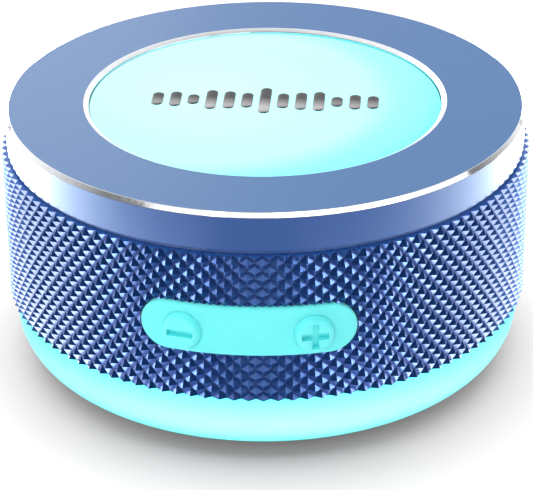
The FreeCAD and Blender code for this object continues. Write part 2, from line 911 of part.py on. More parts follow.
# ---------------------------------------------------------------- electronics

def make_main_pcb():
    """Round board, notched for the deck bosses and drilled for its screws."""
    low, high = dim("board_low"), dim("board_high")
    body = new_body("main_pcb")
    pad_up(body, "plate", low, high, circles(dim("board_radius"), AXIS))
    cut_down(body, "notches", low, high, circles(dim("boss_radius") + dim("boss_gap"), BOSSES))
    cut_down(body, "holes", low, high, circles(dim("clear_radius"), POSTS))
    return body


def make_pcb_screws():
    body = new_body("pcb_screws")
    add_screws(body, dim("board_high"), POSTS)
    return body


def board_box(label, half_x, half_y, height, places, hangs=False):
    """Rectangular parts standing on the board, or hanging under it."""
    low = dim("board_low") - height if hangs else dim("board_high")
    body = new_body(label)
    pad_up(body, "outline", low, low + height, boxes(half_x, half_y, places))
    return body


def make_bluetooth_module():
    """Carrier board with a shield can; the bare end holds the aerial."""
    middle, carrier, shield = -14, 0.8, 1.6
    body = board_box("bluetooth_module", 6.5, 9.0, carrier, [(middle, -9)])
    low = dim("board_high") + carrier
    pad_up(body, "shield", low, low + shield, boxes(5.8, 6.0, [(middle, -6.6)]))
    return body


def make_amplifier_chip():
    return board_box("amplifier_chip", 3.5, 3.5, 1.0, [(13, 9)])


def make_power_capacitors():
    body = new_body("power_capacitors")
    can_height, can_radius = 7.7, 3.15
    low, high = dim("board_low") - can_height, dim("board_low")
    pad_up(body, "cans", low, high, circles(can_radius, [(22.5, 4), (22.5, -4)]))
    return body


def make_power_inductor():
    return board_box("power_inductor", 3.6, 3.6, 3.2, [(-24, 4)], hangs=True)


def make_battery_cell():
    low, high = dim("battery_low"), dim("battery_high")
    half_x, half_y = dim("battery_length") * 0.5, dim("battery_width") * 0.5
    body = new_body("battery_cell")
    pad_up(body, "pouch", low, high, boxes(half_x, half_y, AXIS))
    height = (high - low).value

    def upright(edge):
        box = edge.BoundBox
        return abs(box.ZLength - height) < 1e-4 and box.DiagonalLength < height + 0.1

    round_edges(body, dim("battery_corner"), upright)
    return body


def make_battery_foam_pad():
    body = new_body("battery_foam_pad")
    low, high = dim("battery_high"), dim("chassis_high")
    pad_up(body, "sheet", low, high, boxes(22, 14, AXIS))
    return body


def make_battery_socket():
    return board_box("battery_socket", 3.5, 2.3, dim("socket_height"), [(0, -23)])


def make_speaker_socket():
    return board_box("speaker_socket", 3.5, 2.3, dim("socket_height"), [(0, 23)], hangs=True)


def wire_pair(label, corners, spacing, thickness):
    """Two insulated wires side by side: straight runs joined by tangent arcs."""
    wires = []
    for side in (-0.5, 0.5):
        points = [Vector(side * spacing, y, z) for y, z in corners]
        first, middle, last = points
        reach = 0.45 * min((middle - first).Length, (last - middle).Length)
        before = middle + (first - middle).normalize() * reach
        after = middle + (last - middle).normalize() * reach
        turn = (middle - first).getAngle(last - middle)
        bend_radius = reach / math.tan(turn / 2)
        cut_corner = bend_radius * (1 / math.cos(turn / 2) - 1)
        inward = ((before + after) * 0.5 - middle).normalize()
        arc = Part.Arc(before, middle + inward * cut_corner, after)
        path = Part.Wire([
            Part.LineSegment(first, before).toShape(),
            arc.toShape(),
            Part.LineSegment(after, last).toShape(),
        ])
        section = Part.Wire(Part.makeCircle(thickness / 2, first, middle - first))
        wires.append(path.makePipeShell([section], True, True))
    piece = doc.addObject("Part::Feature", label)
    piece.Label = label
    piece.Shape = Part.makeCompound(wires)
    piece.Placement = FreeCAD.Placement()
    return piece


def make_battery_leads():
    socket_top = (dim("board_high") + dim("socket_height")).value
    cell_end = -dim("battery_width").value / 2
    socket_place, level, spacing = -23.0, 35.0, 2.4
    corners = [(cell_end, level), (socket_place, level), (socket_place, socket_top)]
    return wire_pair("battery_leads", corners, spacing, WIRE_THICKNESS)


def make_speaker_leads():
    socket_under = (dim("board_low") - dim("socket_height")).value
    tag_end, tag_spacing, socket_place = 18.8, 5.0, 23.0
    tag_middle = dim("shelf_high").value + 1.0
    corners = [(tag_end, tag_middle), (socket_place, tag_middle), (socket_place, socket_under)]
    return wire_pair("speaker_leads", corners, tag_spacing, WIRE_THICKNESS)


def make_usb_socket():
    """Charging socket: rounded metal mouth with a tongue, facing the rear panel."""
    port = dim("port_level")
    back, mouth = 31.5, 38.8
    half_width, half_height, wall = 4.47, 1.58, 0.3
    body = new_body("usb_socket", turned_by=as_size(REAR))
    pad_outward(body, "shell", back, mouth, lambda sketch: draw_stadium(
        sketch, half_width, half_height, port))
    cut_inward(body, "mouth", back + 1.0, mouth, lambda sketch: draw_stadium(
        sketch, half_width - wall, half_height - wall, port))
    tongue_half_width, tongue_half_height = 3.3, 0.35
    pad_outward(body, "tongue", back + 0.9, mouth - 1.2, lambda sketch: draw_box(
        sketch, tongue_half_width, tongue_half_height, 0, port))
    return body


def make_key_switch(label, side):
    """Upright press switch under the board, with a bore for its plunger."""
    level = dim("key_level")
    near, far = 31.6, 35.2
    half_width, bore_depth = 3.0, 1.5
    half_height = dim("board_low") - level
    bore = dim("plunger_radius") + dim("fit_gap")
    body = new_body(label, turned_by=dim("key_angle") * side)
    pad_outward(body, "case", near, far, lambda sketch: draw_box(
        sketch, half_width, half_height, 0, level))
    cut_inward(body, "bore", far - bore_depth, far, lambda sketch: draw_circle(
        sketch, bore, 0, level))
    return body


def make_plunger(label, side):
    near, far = 34.6, dim("chassis_bore") - dim("stem_gap")
    body = new_body(label, turned_by=dim("key_angle") * side)
    pad_outward(body, "pin", near, far, lambda sketch: draw_circle(
        sketch, dim("plunger_radius"), 0, dim("key_level")))
    return body


def make_power_switch_body():
    """Slide switch case under the board, open towards the wall."""
    port = dim("port_level")
    near, far, track_depth = 31.2, 35.4, 2.0
    half_width, track_half_width, track_half_height = 4.3, 3.2, 0.9
    half_height = dim("board_low") - port
    body = new_body("power_switch_body", turned_by=REAR - dim("switch_angle"))
    pad_outward(body, "case", near, far, lambda sketch: draw_box(
        sketch, half_width, half_height, 0, port))
    cut_inward(body, "track", far - track_depth, far, lambda sketch: draw_box(
        sketch, track_half_width, track_half_height, 0, port))
    return body


def make_power_switch_knob():
    """Slide knob through the rear slot; it stands at one end of its travel."""
    port = dim("port_level")
    body = new_body("power_switch_knob", turned_by=REAR - dim("switch_angle"))
    at_rest = 1.0
    tip, grip_back, face = 33.8, 40.4, 43.9
    stalk_half_width, stalk_half_height = 1.2, 0.75
    grip_half_width, grip_half_height = 1.5, 1.0
    pad_outward(body, "stalk", tip, face, lambda sketch: draw_box(
        sketch, stalk_half_width, stalk_half_height, at_rest, port))
    pad_outward(body, "grip", grip_back, face, lambda sketch: draw_box(
        sketch, grip_half_width, grip_half_height, at_rest, port))
    return body


def make_status_led():
    port = dim("port_level")
    body = new_body("status_led", turned_by=REAR + dim("lamp_angle"))
    near, far, half_width = 33.6, 35.8, 1.6
    half_height = dim("board_low") - port
    pad_outward(body, "case", near, far, lambda sketch: draw_box(
        sketch, half_width, half_height, 0, port))
    return body


def make_status_light_pipe():
    body = new_body("status_light_pipe", turned_by=REAR + dim("lamp_angle"))
    near, far = 36.0, dim("panel_radius") - 0.05
    radius = dim("lamp_radius") - 0.05
    pad_outward(body, "rod", near, far, lambda sketch: draw_circle(
        sketch, radius, 0, dim("port_level")))
    return body


def make_microphone():
    port = dim("port_level")
    body = new_body("microphone", turned_by=REAR + dim("microphone_angle") + 2)
    near, far, half_width = 34.4, 36.4, 1.5
    half_height = dim("board_low") - port
    pad_outward(body, "can", near, far, lambda sketch: draw_box(
        sketch, half_width, half_height, 0, port))
    return body


# ---------------------------------------------------------------- build and write

pieces = [
    make_top_bezel_ring(),
    make_top_disc(),
    make_disc_emblem(),
    make_disc_foam_pad(),
    make_top_deck(),
    make_deck_screws(),
    make_bezel_seal(),
    make_knurled_sleeve(),
    make_button_panel(),
    make_key("key_minus", -1, False),
    make_key("key_plus", 1, True),
    make_rear_port_panel(),
    make_base_shell(),
    make_foot_pads(),
    make_base_screws(),
    make_bottom_grille(),
    make_grille_gasket(),
    make_inner_chassis(),
    make_driver_gasket(),
    make_driver_basket(),
    make_driver_screws(),
    make_driver_surround(),
    make_driver_cone(),
    make_driver_dust_cap(),
    make_driver_voice_coil_former(),
    make_driver_voice_coil(),
    make_driver_spider(),
    make_driver_top_plate(),
    make_driver_magnet(),
    make_driver_yoke(),
    make_driver_terminals(),
    make_main_pcb(),
    make_pcb_screws(),
    make_bluetooth_module(),
    make_amplifier_chip(),
    make_power_capacitors(),
    make_power_inductor(),
    make_battery_cell(),
    make_battery_foam_pad(),
    make_battery_socket(),
    make_battery_leads(),
    make_speaker_socket(),
    make_speaker_leads(),
    make_usb_socket(),
    make_key_switch("minus_switch_body", -1),
    make_key_switch("plus_switch_body", 1),
    make_plunger("minus_switch_plunger", -1),
    make_plunger("plus_switch_plunger", 1),
    make_power_switch_body(),
    make_power_switch_knob(),
    make_status_led(),
    make_status_light_pipe(),
    make_microphone(),
]
doc.recompute()

for thing in doc.Objects:
    if "Invalid" in thing.State or "Error" in thing.State:
        raise RuntimeError("%s did not compute" % thing.Name)
for piece in pieces:
    if piece.Shape.isNull() or not piece.Shape.isValid():
        raise RuntimeError("%s has no valid shape" % piece.Label)

os.makedirs("parts", exist_ok=True)
for piece in pieces:
    piece.Shape.exportStep(os.path.join("parts", "%s.step" % piece.Label))
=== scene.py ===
import json
import math

import bmesh
import bpy
from mathutils import Matrix, Vector


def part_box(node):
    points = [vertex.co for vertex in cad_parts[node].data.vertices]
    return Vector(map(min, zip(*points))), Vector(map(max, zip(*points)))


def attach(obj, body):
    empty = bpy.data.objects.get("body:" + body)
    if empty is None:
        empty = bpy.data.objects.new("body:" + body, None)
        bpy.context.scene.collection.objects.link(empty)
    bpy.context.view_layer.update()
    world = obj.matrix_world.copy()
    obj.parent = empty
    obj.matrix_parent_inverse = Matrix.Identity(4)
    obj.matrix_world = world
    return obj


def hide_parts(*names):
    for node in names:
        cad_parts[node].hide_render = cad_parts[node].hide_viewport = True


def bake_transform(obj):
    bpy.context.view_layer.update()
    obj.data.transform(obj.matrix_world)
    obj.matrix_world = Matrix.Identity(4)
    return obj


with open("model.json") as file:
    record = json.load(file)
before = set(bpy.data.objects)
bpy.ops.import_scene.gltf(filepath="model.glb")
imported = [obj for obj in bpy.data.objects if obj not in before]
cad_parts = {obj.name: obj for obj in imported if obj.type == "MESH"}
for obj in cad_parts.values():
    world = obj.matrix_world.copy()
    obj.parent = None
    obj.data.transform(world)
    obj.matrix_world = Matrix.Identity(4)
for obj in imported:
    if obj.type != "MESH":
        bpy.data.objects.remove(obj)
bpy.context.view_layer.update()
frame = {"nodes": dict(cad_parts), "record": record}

# A round portable loudspeaker. Everything is in metres; MM turns millimetres into them.
MM = 0.001
TINY = 1e-7
ROUND = 288
NODES = frame["nodes"]


def low_of(node):
    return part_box(node)[0]


def high_of(node):
    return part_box(node)[1]


# Levels, radii and half widths of the design that the looks follow.
TOP = high_of("top_bezel_ring")[2]
BAND_LOW = low_of("top_bezel_ring")[2]
BAND_RADIUS = high_of("top_bezel_ring")[0]
DISC_TOP = high_of("top_disc")[2]
KNURL_LOW = low_of("knurled_sleeve")[2]
KNURL_HIGH = high_of("knurled_sleeve")[2]
KNURL_RADIUS = high_of("knurled_sleeve")[0]
BASE_LOW = low_of("base_shell")[2]
BASE_RADIUS = high_of("base_shell")[0]
PANEL_LOW = low_of("button_panel")[2]
PANEL_HIGH = high_of("button_panel")[2]
PANEL_HALF = high_of("button_panel")[0]
PANEL_RADIUS = -low_of("button_panel")[1]
REAR_LOW = low_of("rear_port_panel")[2]
REAR_HIGH = high_of("rear_port_panel")[2]
REAR_HALF = high_of("rear_port_panel")[0]
KEY_LEVEL = (low_of("key_minus")[2] + high_of("key_minus")[2]) / 2
PORT_LEVEL = (low_of("usb_socket")[2] + high_of("usb_socket")[2]) / 2
# Radii, angles and counts shared by several pieces.
SLEEVE_BORE = 39.9 * MM
PLATE_THICKNESS = 1.6 * MM
PANEL_BACK = 39.7 * MM
PANEL_SOFT = 0.5 * MM
KEY_HOLE = 3.2 * MM
KEY_ANGLE = math.radians(13.45)
SWITCH_ANGLE = math.radians(16)
LAMP_ANGLE = math.radians(15)
SOUND_ANGLE = math.radians(20)
POST_CIRCLE = 30 * MM
KNURL_COLUMNS = 236
KNURL_ROWS = 19
KNURL_DEPTH = 0.78 * MM
KNURL_START = -math.pi / 2
SHARP_DEGREES = 35


# ---------------- mesh helpers

def add_object(name, mesh, materials, body, stands_for):
    """A finished piece: placed, painted, riding on its body, standing for its CAD nodes."""
    piece = bpy.data.objects.new(name, mesh)
    bpy.context.scene.collection.objects.link(piece)
    for material in materials:
        mesh.materials.append(material)
    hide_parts(*stands_for)
    if body:
        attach(piece, body)
    return piece


def mark_sharp(bm, degrees):
    """Edges that turn by more than the given angle stay crisp."""
    limit = math.radians(degrees)
    for edge in bm.edges:
        if len(edge.link_faces) == 2:
            edge.smooth = edge.calc_face_angle(0) < limit


def mesh_from(bm, name, sharp_degrees=SHARP_DEGREES):
    """Turn bm into a smooth mesh with crisp sharp edges."""
    bmesh.ops.recalc_face_normals(bm, faces=bm.faces)
    for face in bm.faces:
        face.smooth = True
    mark_sharp(bm, sharp_degrees)
    mesh = bpy.data.meshes.new(name)
    bm.to_mesh(mesh)
    bm.free()
    return mesh


def arc_points(centre, radius, start, end, steps):
    """Points (r, z) on an arc about centre, angles in degrees from +r towards +z."""
    points = []
    for i in range(steps + 1):
        angle = math.radians(start + (end - start) * i / steps)
        points.append((centre[0] + radius * math.cos(angle), centre[1] + radius * math.sin(angle)))
    return points


def round_ring(bm, radius, z, around, start=0.0):
    """A ring of vertices round Z, or one vertex on the axis."""
    if radius < TINY:
        return [bm.verts.new((0, 0, z))]
    ring = []
    for i in range(around):
        angle = start + 2 * math.pi * i / around
        ring.append(bm.verts.new((radius * math.cos(angle), radius * math.sin(angle), z)))
    return ring


def join_rings(bm, first, second, material=0):
    """Faces between two rings of vertices, either of which may be a single point."""
    around = max(len(first), len(second))
    for i in range(around):
        j = (i + 1) % around
        corners = [first[i % len(first)], first[j % len(first)],
                   second[j % len(second)], second[i % len(second)]]
        corners = [v for n, v in enumerate(corners) if v not in corners[:n]]
        bm.faces.new(corners).material_index = material


def lathe(bm, profile, around, material_of=None):
    """Revolve a closed profile of (r, z) points round Z."""
    rings = [round_ring(bm, r, z, around) for r, z in profile]
    for k, first in enumerate(rings):
        second = rings[(k + 1) % len(rings)]
        if len(first) > 1 or len(second) > 1:
            join_rings(bm, first, second, material_of(k) if material_of else 0)


def turned(name, profile, materials, stands_for, body="housing", around=ROUND,
           sharp=SHARP_DEGREES, material_of=None):
    """A finished piece of revolution."""
    bm = bmesh.new()
    lathe(bm, profile, around, material_of)
    mesh = mesh_from(bm, name, sharp)
    return add_object(name, mesh, materials, body, stands_for)


def cut_from(piece, cutter):
    """Subtract a throwaway cutter exactly."""
    modifier = piece.modifiers.new("cut", "BOOLEAN")
    modifier.operation = "DIFFERENCE"
    modifier.solver = "EXACT"
    modifier.object = cutter
    bpy.context.view_layer.update()
    graph = bpy.context.evaluated_depsgraph_get()
    mesh = bpy.data.meshes.new_from_object(piece.evaluated_get(graph))
    piece.modifiers.remove(modifier)
    old = piece.data
    piece.data = mesh
    bpy.data.meshes.remove(old)
    bpy.data.objects.remove(cutter)
    bm = bmesh.new()
    bm.from_mesh(mesh)
    mark_sharp(bm, SHARP_DEGREES)
    bm.to_mesh(mesh)
    bm.free()


def loose_object(name, bm):
    """A helper object that is no piece of the model."""
    bmesh.ops.recalc_face_normals(bm, faces=bm.faces)
    mesh = bpy.data.meshes.new(name)
    bm.to_mesh(mesh)
    bm.free()
    thing = bpy.data.objects.new(name, mesh)
    bpy.context.scene.collection.objects.link(thing)
    return thing


def stadium_loop(half_straight, radius, straight_steps, cap_steps):
    """Points (s, z) round a stadium, counter-clockwise from the lower left."""
    loop = []
    for i in range(straight_steps):
        loop.append((-half_straight + 2 * half_straight * i / straight_steps, -radius))
    for i in range(cap_steps):
        angle = -math.pi / 2 + math.pi * i / cap_steps
        loop.append((half_straight + radius * math.cos(angle), radius * math.sin(angle)))
    for i in range(straight_steps):
        loop.append((half_straight - 2 * half_straight * i / straight_steps, radius))
    for i in range(cap_steps):
        angle = math.pi / 2 + math.pi * i / cap_steps
        loop.append((-half_straight + radius * math.cos(angle), radius * math.sin(angle)))
    return loop


def prism(name, loop, near, far, swing):
    """A straight prism along the outward direction at the angle swing from -Y to +X."""
    bm = bmesh.new()
    across = Vector((math.cos(swing), math.sin(swing), 0))
    outward = Vector((math.sin(swing), -math.cos(swing), 0))
    ends = []
    for distance in (near, far):
        ends.append([bm.verts.new(across * s + outward * distance + Vector((0, 0, z)))
                     for s, z in loop])
    join_rings(bm, ends[0], ends[1])
    bm.faces.new(ends[0])
    bm.faces.new(list(reversed(ends[1])))
    return loose_object(name, bm)


def waved(start, end, wave, waves, steps):
    """Points (r, z) from start to end, with whole waves in z along the way."""
    points = []
    for i in range(steps + 1):
        t = i / steps
        ripple = wave * math.sin(2 * math.pi * waves * t)
        points.append((start[0] + (end[0] - start[0]) * t,
                       start[1] + (end[1] - start[1]) * t + ripple))
    return points


def lifted(loop, level):
    return [(s, z + level) for s, z in loop]


def circle_loop(radius, steps):
    return [(radius * math.cos(2 * math.pi * i / steps), radius * math.sin(2 * math.pi * i / steps))
            for i in range(steps)]


def box_loop(half_s, half_z):
    return [(-half_s, -half_z), (half_s, -half_z), (half_s, half_z), (-half_s, half_z)]


def cut_through(piece, name, loop, level, swing):
    """Open a hole of the given outline through the wall, from inside it to outside it."""
    inside, outside = 30 * MM, 50 * MM
    cut_from(piece, prism(name, lifted(loop, level), inside, outside, swing))


# ---------------- materials

# Noise seldom leaves this range.
NOISE_LOW = 0.35
NOISE_HIGH = 0.65
NOISE_ROUGHNESS = 0.6
# Blue and green light travel furthest inside the silicone.
SCATTER = (0.4, 1.0, 1.0)


def fill_ramp(ramp, stops, interpolation="LINEAR"):
    """Set a colour ramp to (position, colour) stops, in order."""
    ramp.interpolation = interpolation
    elements = ramp.elements
    elements[0].position, elements[1].position = stops[0][0], stops[-1][0]
    for position, _ in stops[1:-1]:
        elements.new(position)
    for element, (_, color) in zip(elements, stops):
        element.color = (*color, 1)


class Paint:
    """A procedural material: one Principled shader and the nodes that feed it."""

    def __init__(self, name, color, rough, metal=0.0, **inputs):
        self.material = bpy.data.materials.new(name)
        self.material.use_nodes = True
        self.tree = self.material.node_tree
        self.shader = self.tree.nodes["Principled BSDF"]
        self.shader.inputs["Base Color"].default_value = (*color, 1)
        self.shader.inputs["Roughness"].default_value = rough
        self.shader.inputs["Metallic"].default_value = metal
        self.color = color
        self.rough = rough
        self.bumps = None
        for key, value in inputs.items():
            self.shader.inputs[key.replace("_", " ")].default_value = value
        self.place = self.tree.nodes.new("ShaderNodeTexCoord").outputs["Object"]

    def node(self, kind, **settings):
        """A new node with the given settings."""
        node = self.tree.nodes.new(kind)
        for key, value in settings.items():
            setattr(node, key, value)
        return node

    def link(self, start, end):
        self.tree.links.new(start, end)

    def noise(self, scale, detail, stretch=None):
        """Noise in object space; scale is features per metre."""
        source = self.place
        if stretch:
            mapping = self.node("ShaderNodeMapping")
            mapping.inputs["Scale"].default_value = stretch
            self.link(source, mapping.inputs["Vector"])
            source = mapping.outputs["Vector"]
        noise = self.node("ShaderNodeTexNoise")
        noise.inputs["Scale"].default_value = scale
        noise.inputs["Detail"].default_value = detail
        noise.inputs["Roughness"].default_value = NOISE_ROUGHNESS
        self.link(source, noise.inputs["Vector"])
        return noise.outputs["Fac"]

    def spread(self, value, low, high, start=NOISE_LOW, end=NOISE_HIGH):
        """Map start..end of a value to low..high; left alone, it takes the range of a noise."""
        remap = self.node("ShaderNodeMapRange")
        remap.inputs["From Min"].default_value = start
        remap.inputs["From Max"].default_value = end
        remap.inputs["To Min"].default_value = low
        remap.inputs["To Max"].default_value = high
        self.link(value, remap.inputs["Value"])
        return remap.outputs["Result"]

    def vary_rough(self, value, amount):
        """Roughness wanders either side of its set value."""
        result = self.spread(value, max(0.02, self.rough - amount), min(1.0, self.rough + amount))
        self.link(result, self.shader.inputs["Roughness"])
        return self

    def color_by(self, value, stops, interpolation="LINEAR"):
        """Colour follows a value through (position, colour) stops, in order."""
        ramp = self.node("ShaderNodeValToRGB")
        fill_ramp(ramp.color_ramp, stops, interpolation)
        self.link(value, ramp.inputs["Fac"])
        self.link(ramp.outputs["Color"], self.shader.inputs["Base Color"])
        return self

    def vary_color(self, value, darker, lighter):
        """Colour wanders between a darker and a lighter shade of itself."""
        shades = [[min(1.0, c * factor) for c in self.color] for factor in (darker, lighter)]
        return self.color_by(value, ((NOISE_LOW, shades[0]), (NOISE_HIGH, shades[1])))

    def axis(self, name):
        """One coordinate of the place in object space."""
        place = self.node("ShaderNodeSeparateXYZ")
        self.link(self.place, place.inputs["Vector"])
        return place.outputs[name]

    def bump(self, value, height, strength):
        """Stack one more relief; height is in metres."""
        node = self.node("ShaderNodeBump")
        node.inputs["Strength"].default_value = strength
        node.inputs["Distance"].default_value = height
        self.link(value, node.inputs["Height"])
        if self.bumps:
            self.link(self.bumps, node.inputs["Normal"])
        self.bumps = node.outputs["Normal"]
        self.link(self.bumps, self.shader.inputs["Normal"])
        return self


def satin_blue_paint():
    """Satin blue finish of the ring's flat face, with a very fine grain."""
    paint = Paint("satin_blue_metal", (0.021, 0.108, 0.285), 0.38, 0.0)
    paint.vary_color(paint.noise(5200, 2), 0.94, 1.06)
    paint.vary_rough(paint.noise(2600, 2), 0.03)
    return paint.bump(paint.noise(9000, 2), 0.5e-6, 0.4).material


def band_blue_paint():
    """Turned outer band under a clear coat, with very fine lathe lines."""
    paint = Paint("polished_blue_band", (0.004, 0.082, 0.36), 0.24, 0.0, IOR=1.47)
    lines = paint.noise(30, 2, stretch=(1, 1, 260))
    paint.vary_color(paint.noise(4000, 2), 0.97, 1.03)
    paint.vary_rough(lines, 0.03)
    return paint.bump(lines, 0.3e-6, 0.4).material


def bright_cut_paint():
    """Diamond-cut bright edges of the ring."""
    paint = Paint("bright_cut_metal", (0.86, 0.88, 0.91), 0.09, 1.0)
    paint.vary_color(paint.noise(600, 3), 0.96, 1.03)
    return paint.vary_rough(paint.noise(900, 2), 0.03).material


def gloss_disc_paint():
    """Gloss with a painted highlight: palest a little left of the middle, deeper towards the right
    rim.
    """
    paint = Paint("gloss_pale_blue", (0.5, 0.97, 0.98), 0.22, 0.0, Coat_Weight=0.4,
                  Coat_Roughness=0.06)
    # Painted highlight: the colour pales with nearness to a point left of the middle of the disc.
    from_highlight = paint.node("ShaderNodeVectorMath", operation="DISTANCE")
    from_highlight.inputs[1].default_value = (-10 * MM, 2 * MM, DISC_TOP)
    paint.link(paint.place, from_highlight.inputs[0])
    reach = paint.spread(from_highlight.outputs["Value"], 0.0, 1.0, 0.0, 42 * MM)
    paint.color_by(reach, ((0.0, (0.45, 0.97, 0.97)), (0.6, (0.38, 0.968, 0.975)),
                           (0.8, (0.17, 0.968, 0.975)), (1.0, (0.04, 0.96, 0.985))), "EASE")
    paint.vary_rough(paint.noise(240, 4), 0.03)
    return paint.bump(paint.noise(2600, 2), 0.5e-6, 0.3).material


def chrome_paint():
    """Dark polished chrome with a painted reflection that pales towards the front edge of the mark.
    """
    paint = Paint("polished_chrome", (0.2, 0.2, 0.205), 0.12, 1.0)
    # Painted reflection: the colour brightens from the back of the mark to its front edge.
    across = paint.spread(paint.axis("Y"), 1.0, 0.0, -3.6 * MM, 2.4 * MM)
    paint.color_by(across, ((0.3, (0.045, 0.045, 0.048)), (0.9, (0.46, 0.46, 0.47))))
    return paint.vary_rough(paint.noise(700, 3), 0.03).material


def knurl_paint():
    """Deep blue anodised facets, with painted shade in the valleys and a painted highlight on the
    points.
    """
    paint = Paint("knurled_blue_metal", (0.004, 0.06, 0.27), 0.21, 0.45, IOR=1.75)
    level = paint.node("ShaderNodeCombineXYZ")
    paint.link(paint.axis("X"), level.inputs["X"])
    paint.link(paint.axis("Y"), level.inputs["Y"])
    radius = paint.node("ShaderNodeVectorMath", operation="LENGTH")
    paint.link(level.outputs["Vector"], radius.inputs[0])
    valley = KNURL_RADIUS - KNURL_DEPTH
    height = paint.spread(radius.outputs["Value"], 0.0, 1.0, valley, KNURL_RADIUS)
    # Painted shade in the valleys and painted highlight on the points: the colour follows height
    # above the valley.
    paint.color_by(height, ((0.0, (0.003, 0.045, 0.22)), (0.85, paint.color),
                            (1.0, (0.012, 0.11, 0.38))))
    paint.vary_rough(paint.noise(700, 3), 0.05)
    return paint.bump(paint.noise(3200, 3), 1.2e-6, 0.5).material


def lit_collar_paint():
    """Turned, unknurled top edge of the wall, painted paler than the facets: painted light where
    the band's overhang keeps it in shade.
    """
    paint = Paint("lit_blue_collar", (0.03, 0.13, 0.42), 0.3, 0.2)
    paint.vary_color(paint.noise(3000, 2), 0.94, 1.06)
    return paint.vary_rough(paint.noise(900, 3), 0.05).material


def silicone_paint():
    """Soft-touch silicone: even colour, faint moulding texture, light scattered inside."""
    paint = Paint("pale_blue_silicone", (0.165, 0.95, 0.965), 0.48, 0.0, Subsurface_Weight=0.2,
                  Subsurface_Scale=1 * MM, Subsurface_Radius=SCATTER, Sheen_Weight=0.08,
                  Sheen_Roughness=0.4)
    paint.vary_color(paint.noise(120, 4), 0.975, 1.02)
    paint.vary_rough(paint.noise(400, 3), 0.05)
    return paint.bump(paint.noise(7000, 3), 1.5e-6, 0.5).material


def base_paint():
    """The base's silicone is painted paler half way up, a painted highlight, and darker near the
    floor and under the wall, painted shade.
    """
    paint = Paint("pale_blue_base", (0.33, 0.97, 0.985), 0.5, 0.0, Subsurface_Weight=0.35,
                  Subsurface_Scale=3 * MM, Subsurface_Radius=SCATTER)
    height = paint.spread(paint.axis("Z"), 0.0, 1.0, BASE_LOW, KNURL_LOW)
    # Painted highlight half way up; painted shade near the floor and under the wall's overhang.
    paint.color_by(height, ((0.1, (0.08, 0.97, 0.98)), (0.5, (0.35, 0.985, 0.985)),
                            (0.95, (0.07, 0.97, 0.98))), "B_SPLINE")
    paint.vary_rough(paint.noise(400, 3), 0.05)
    return paint.bump(paint.noise(7000, 3), 1.5e-6, 0.5).material


def rubber_paint(name, color, rough=0.62):
    """Dull rubber with a grain."""
    paint = Paint(name, color, rough)
    paint.vary_color(paint.noise(180, 4), 0.85, 1.15)
    paint.vary_rough(paint.noise(500, 3), 0.08)
    return paint.bump(paint.noise(2600, 4), 6e-6, 0.6).material


def moulded_paint(name, color, rough=0.5, grain=3600, coat=0.0):
    """Spark-textured moulded plastic with faint flow marks."""
    paint = Paint(name, color, rough, Coat_Weight=coat)
    paint.vary_color(paint.noise(70, 4, stretch=(1, 1, 3)), 0.88, 1.12)
    paint.vary_rough(paint.noise(300, 3), 0.07)
    return paint.bump(paint.noise(grain, 3), 5e-6, 0.6).material


def foam_paint():
    """Open-celled foam."""
    paint = Paint("black_foam", (0.035, 0.035, 0.04), 0.95)
    cells = paint.node("ShaderNodeTexVoronoi")
    cells.inputs["Scale"].default_value = 1900
    paint.link(paint.place, cells.inputs["Vector"])
    paint.vary_color(paint.noise(300, 3), 0.7, 1.4)
    return paint.bump(cells.outputs["Distance"], 1.5e-4, 0.9).material


def steel_paint(name, color, rough, stretch):
    """Plated steel with drawn or ground lines."""
    paint = Paint(name, color, rough, 1.0)
    lines = paint.noise(240, 3, stretch=stretch)
    paint.vary_color(paint.noise(130, 3), 0.9, 1.08)
    paint.vary_rough(lines, 0.08)
    return paint.bump(lines, 3e-6, 0.5).material


def powder_paint(name, color):
    """Powder coat over steel, with its fine orange peel."""
    paint = Paint(name, color, 0.46, 0.2)
    paint.vary_color(paint.noise(200, 3), 0.9, 1.12)
    paint.vary_rough(paint.noise(900, 3), 0.08)
    return paint.bump(paint.noise(2400, 3), 8e-6, 0.6).material


def ferrite_paint():
    """Sintered magnet, mottled and rough."""
    paint = Paint("dark_ferrite", (0.055, 0.055, 0.06), 0.7, 0.35)
    paint.vary_color(paint.noise(900, 5), 0.6, 1.5)
    paint.vary_rough(paint.noise(400, 3), 0.12)
    return paint.bump(paint.noise(2200, 5), 2e-5, 0.6).material


def woven_paint(name, color, pitch, height):
    """Plain weave from two crossed waves, with stray fibres."""
    paint = Paint(name, color, 0.85)
    waves = []
    bands_per_scale = 3.2
    for direction in ("X", "Y"):
        wave = paint.node("ShaderNodeTexWave", bands_direction=direction)
        wave.inputs["Scale"].default_value = 1 / pitch / bands_per_scale
        wave.inputs["Distortion"].default_value = 0.3
        paint.link(paint.place, wave.inputs["Vector"])
        waves.append(wave.outputs["Fac"])
    crossed = paint.node("ShaderNodeMath", operation="MULTIPLY")
    paint.link(waves[0], crossed.inputs[0])
    paint.link(waves[1], crossed.inputs[1])
    paint.vary_color(paint.noise(800, 4), 0.8, 1.2)
    return paint.bump(crossed.outputs["Value"], height, 0.8).material


def winding_paint():
    """Enamelled copper wire wound turn on turn."""
    paint = Paint("copper_winding", (0.60, 0.22, 0.09), 0.3, 1.0)
    wave = paint.node("ShaderNodeTexWave", bands_direction="Z")
    wave.inputs["Scale"].default_value = 1600
    paint.link(paint.place, wave.inputs["Vector"])
    paint.vary_color(paint.noise(400, 3), 0.85, 1.15)
    return paint.bump(wave.outputs["Fac"], 4e-5, 0.9).material


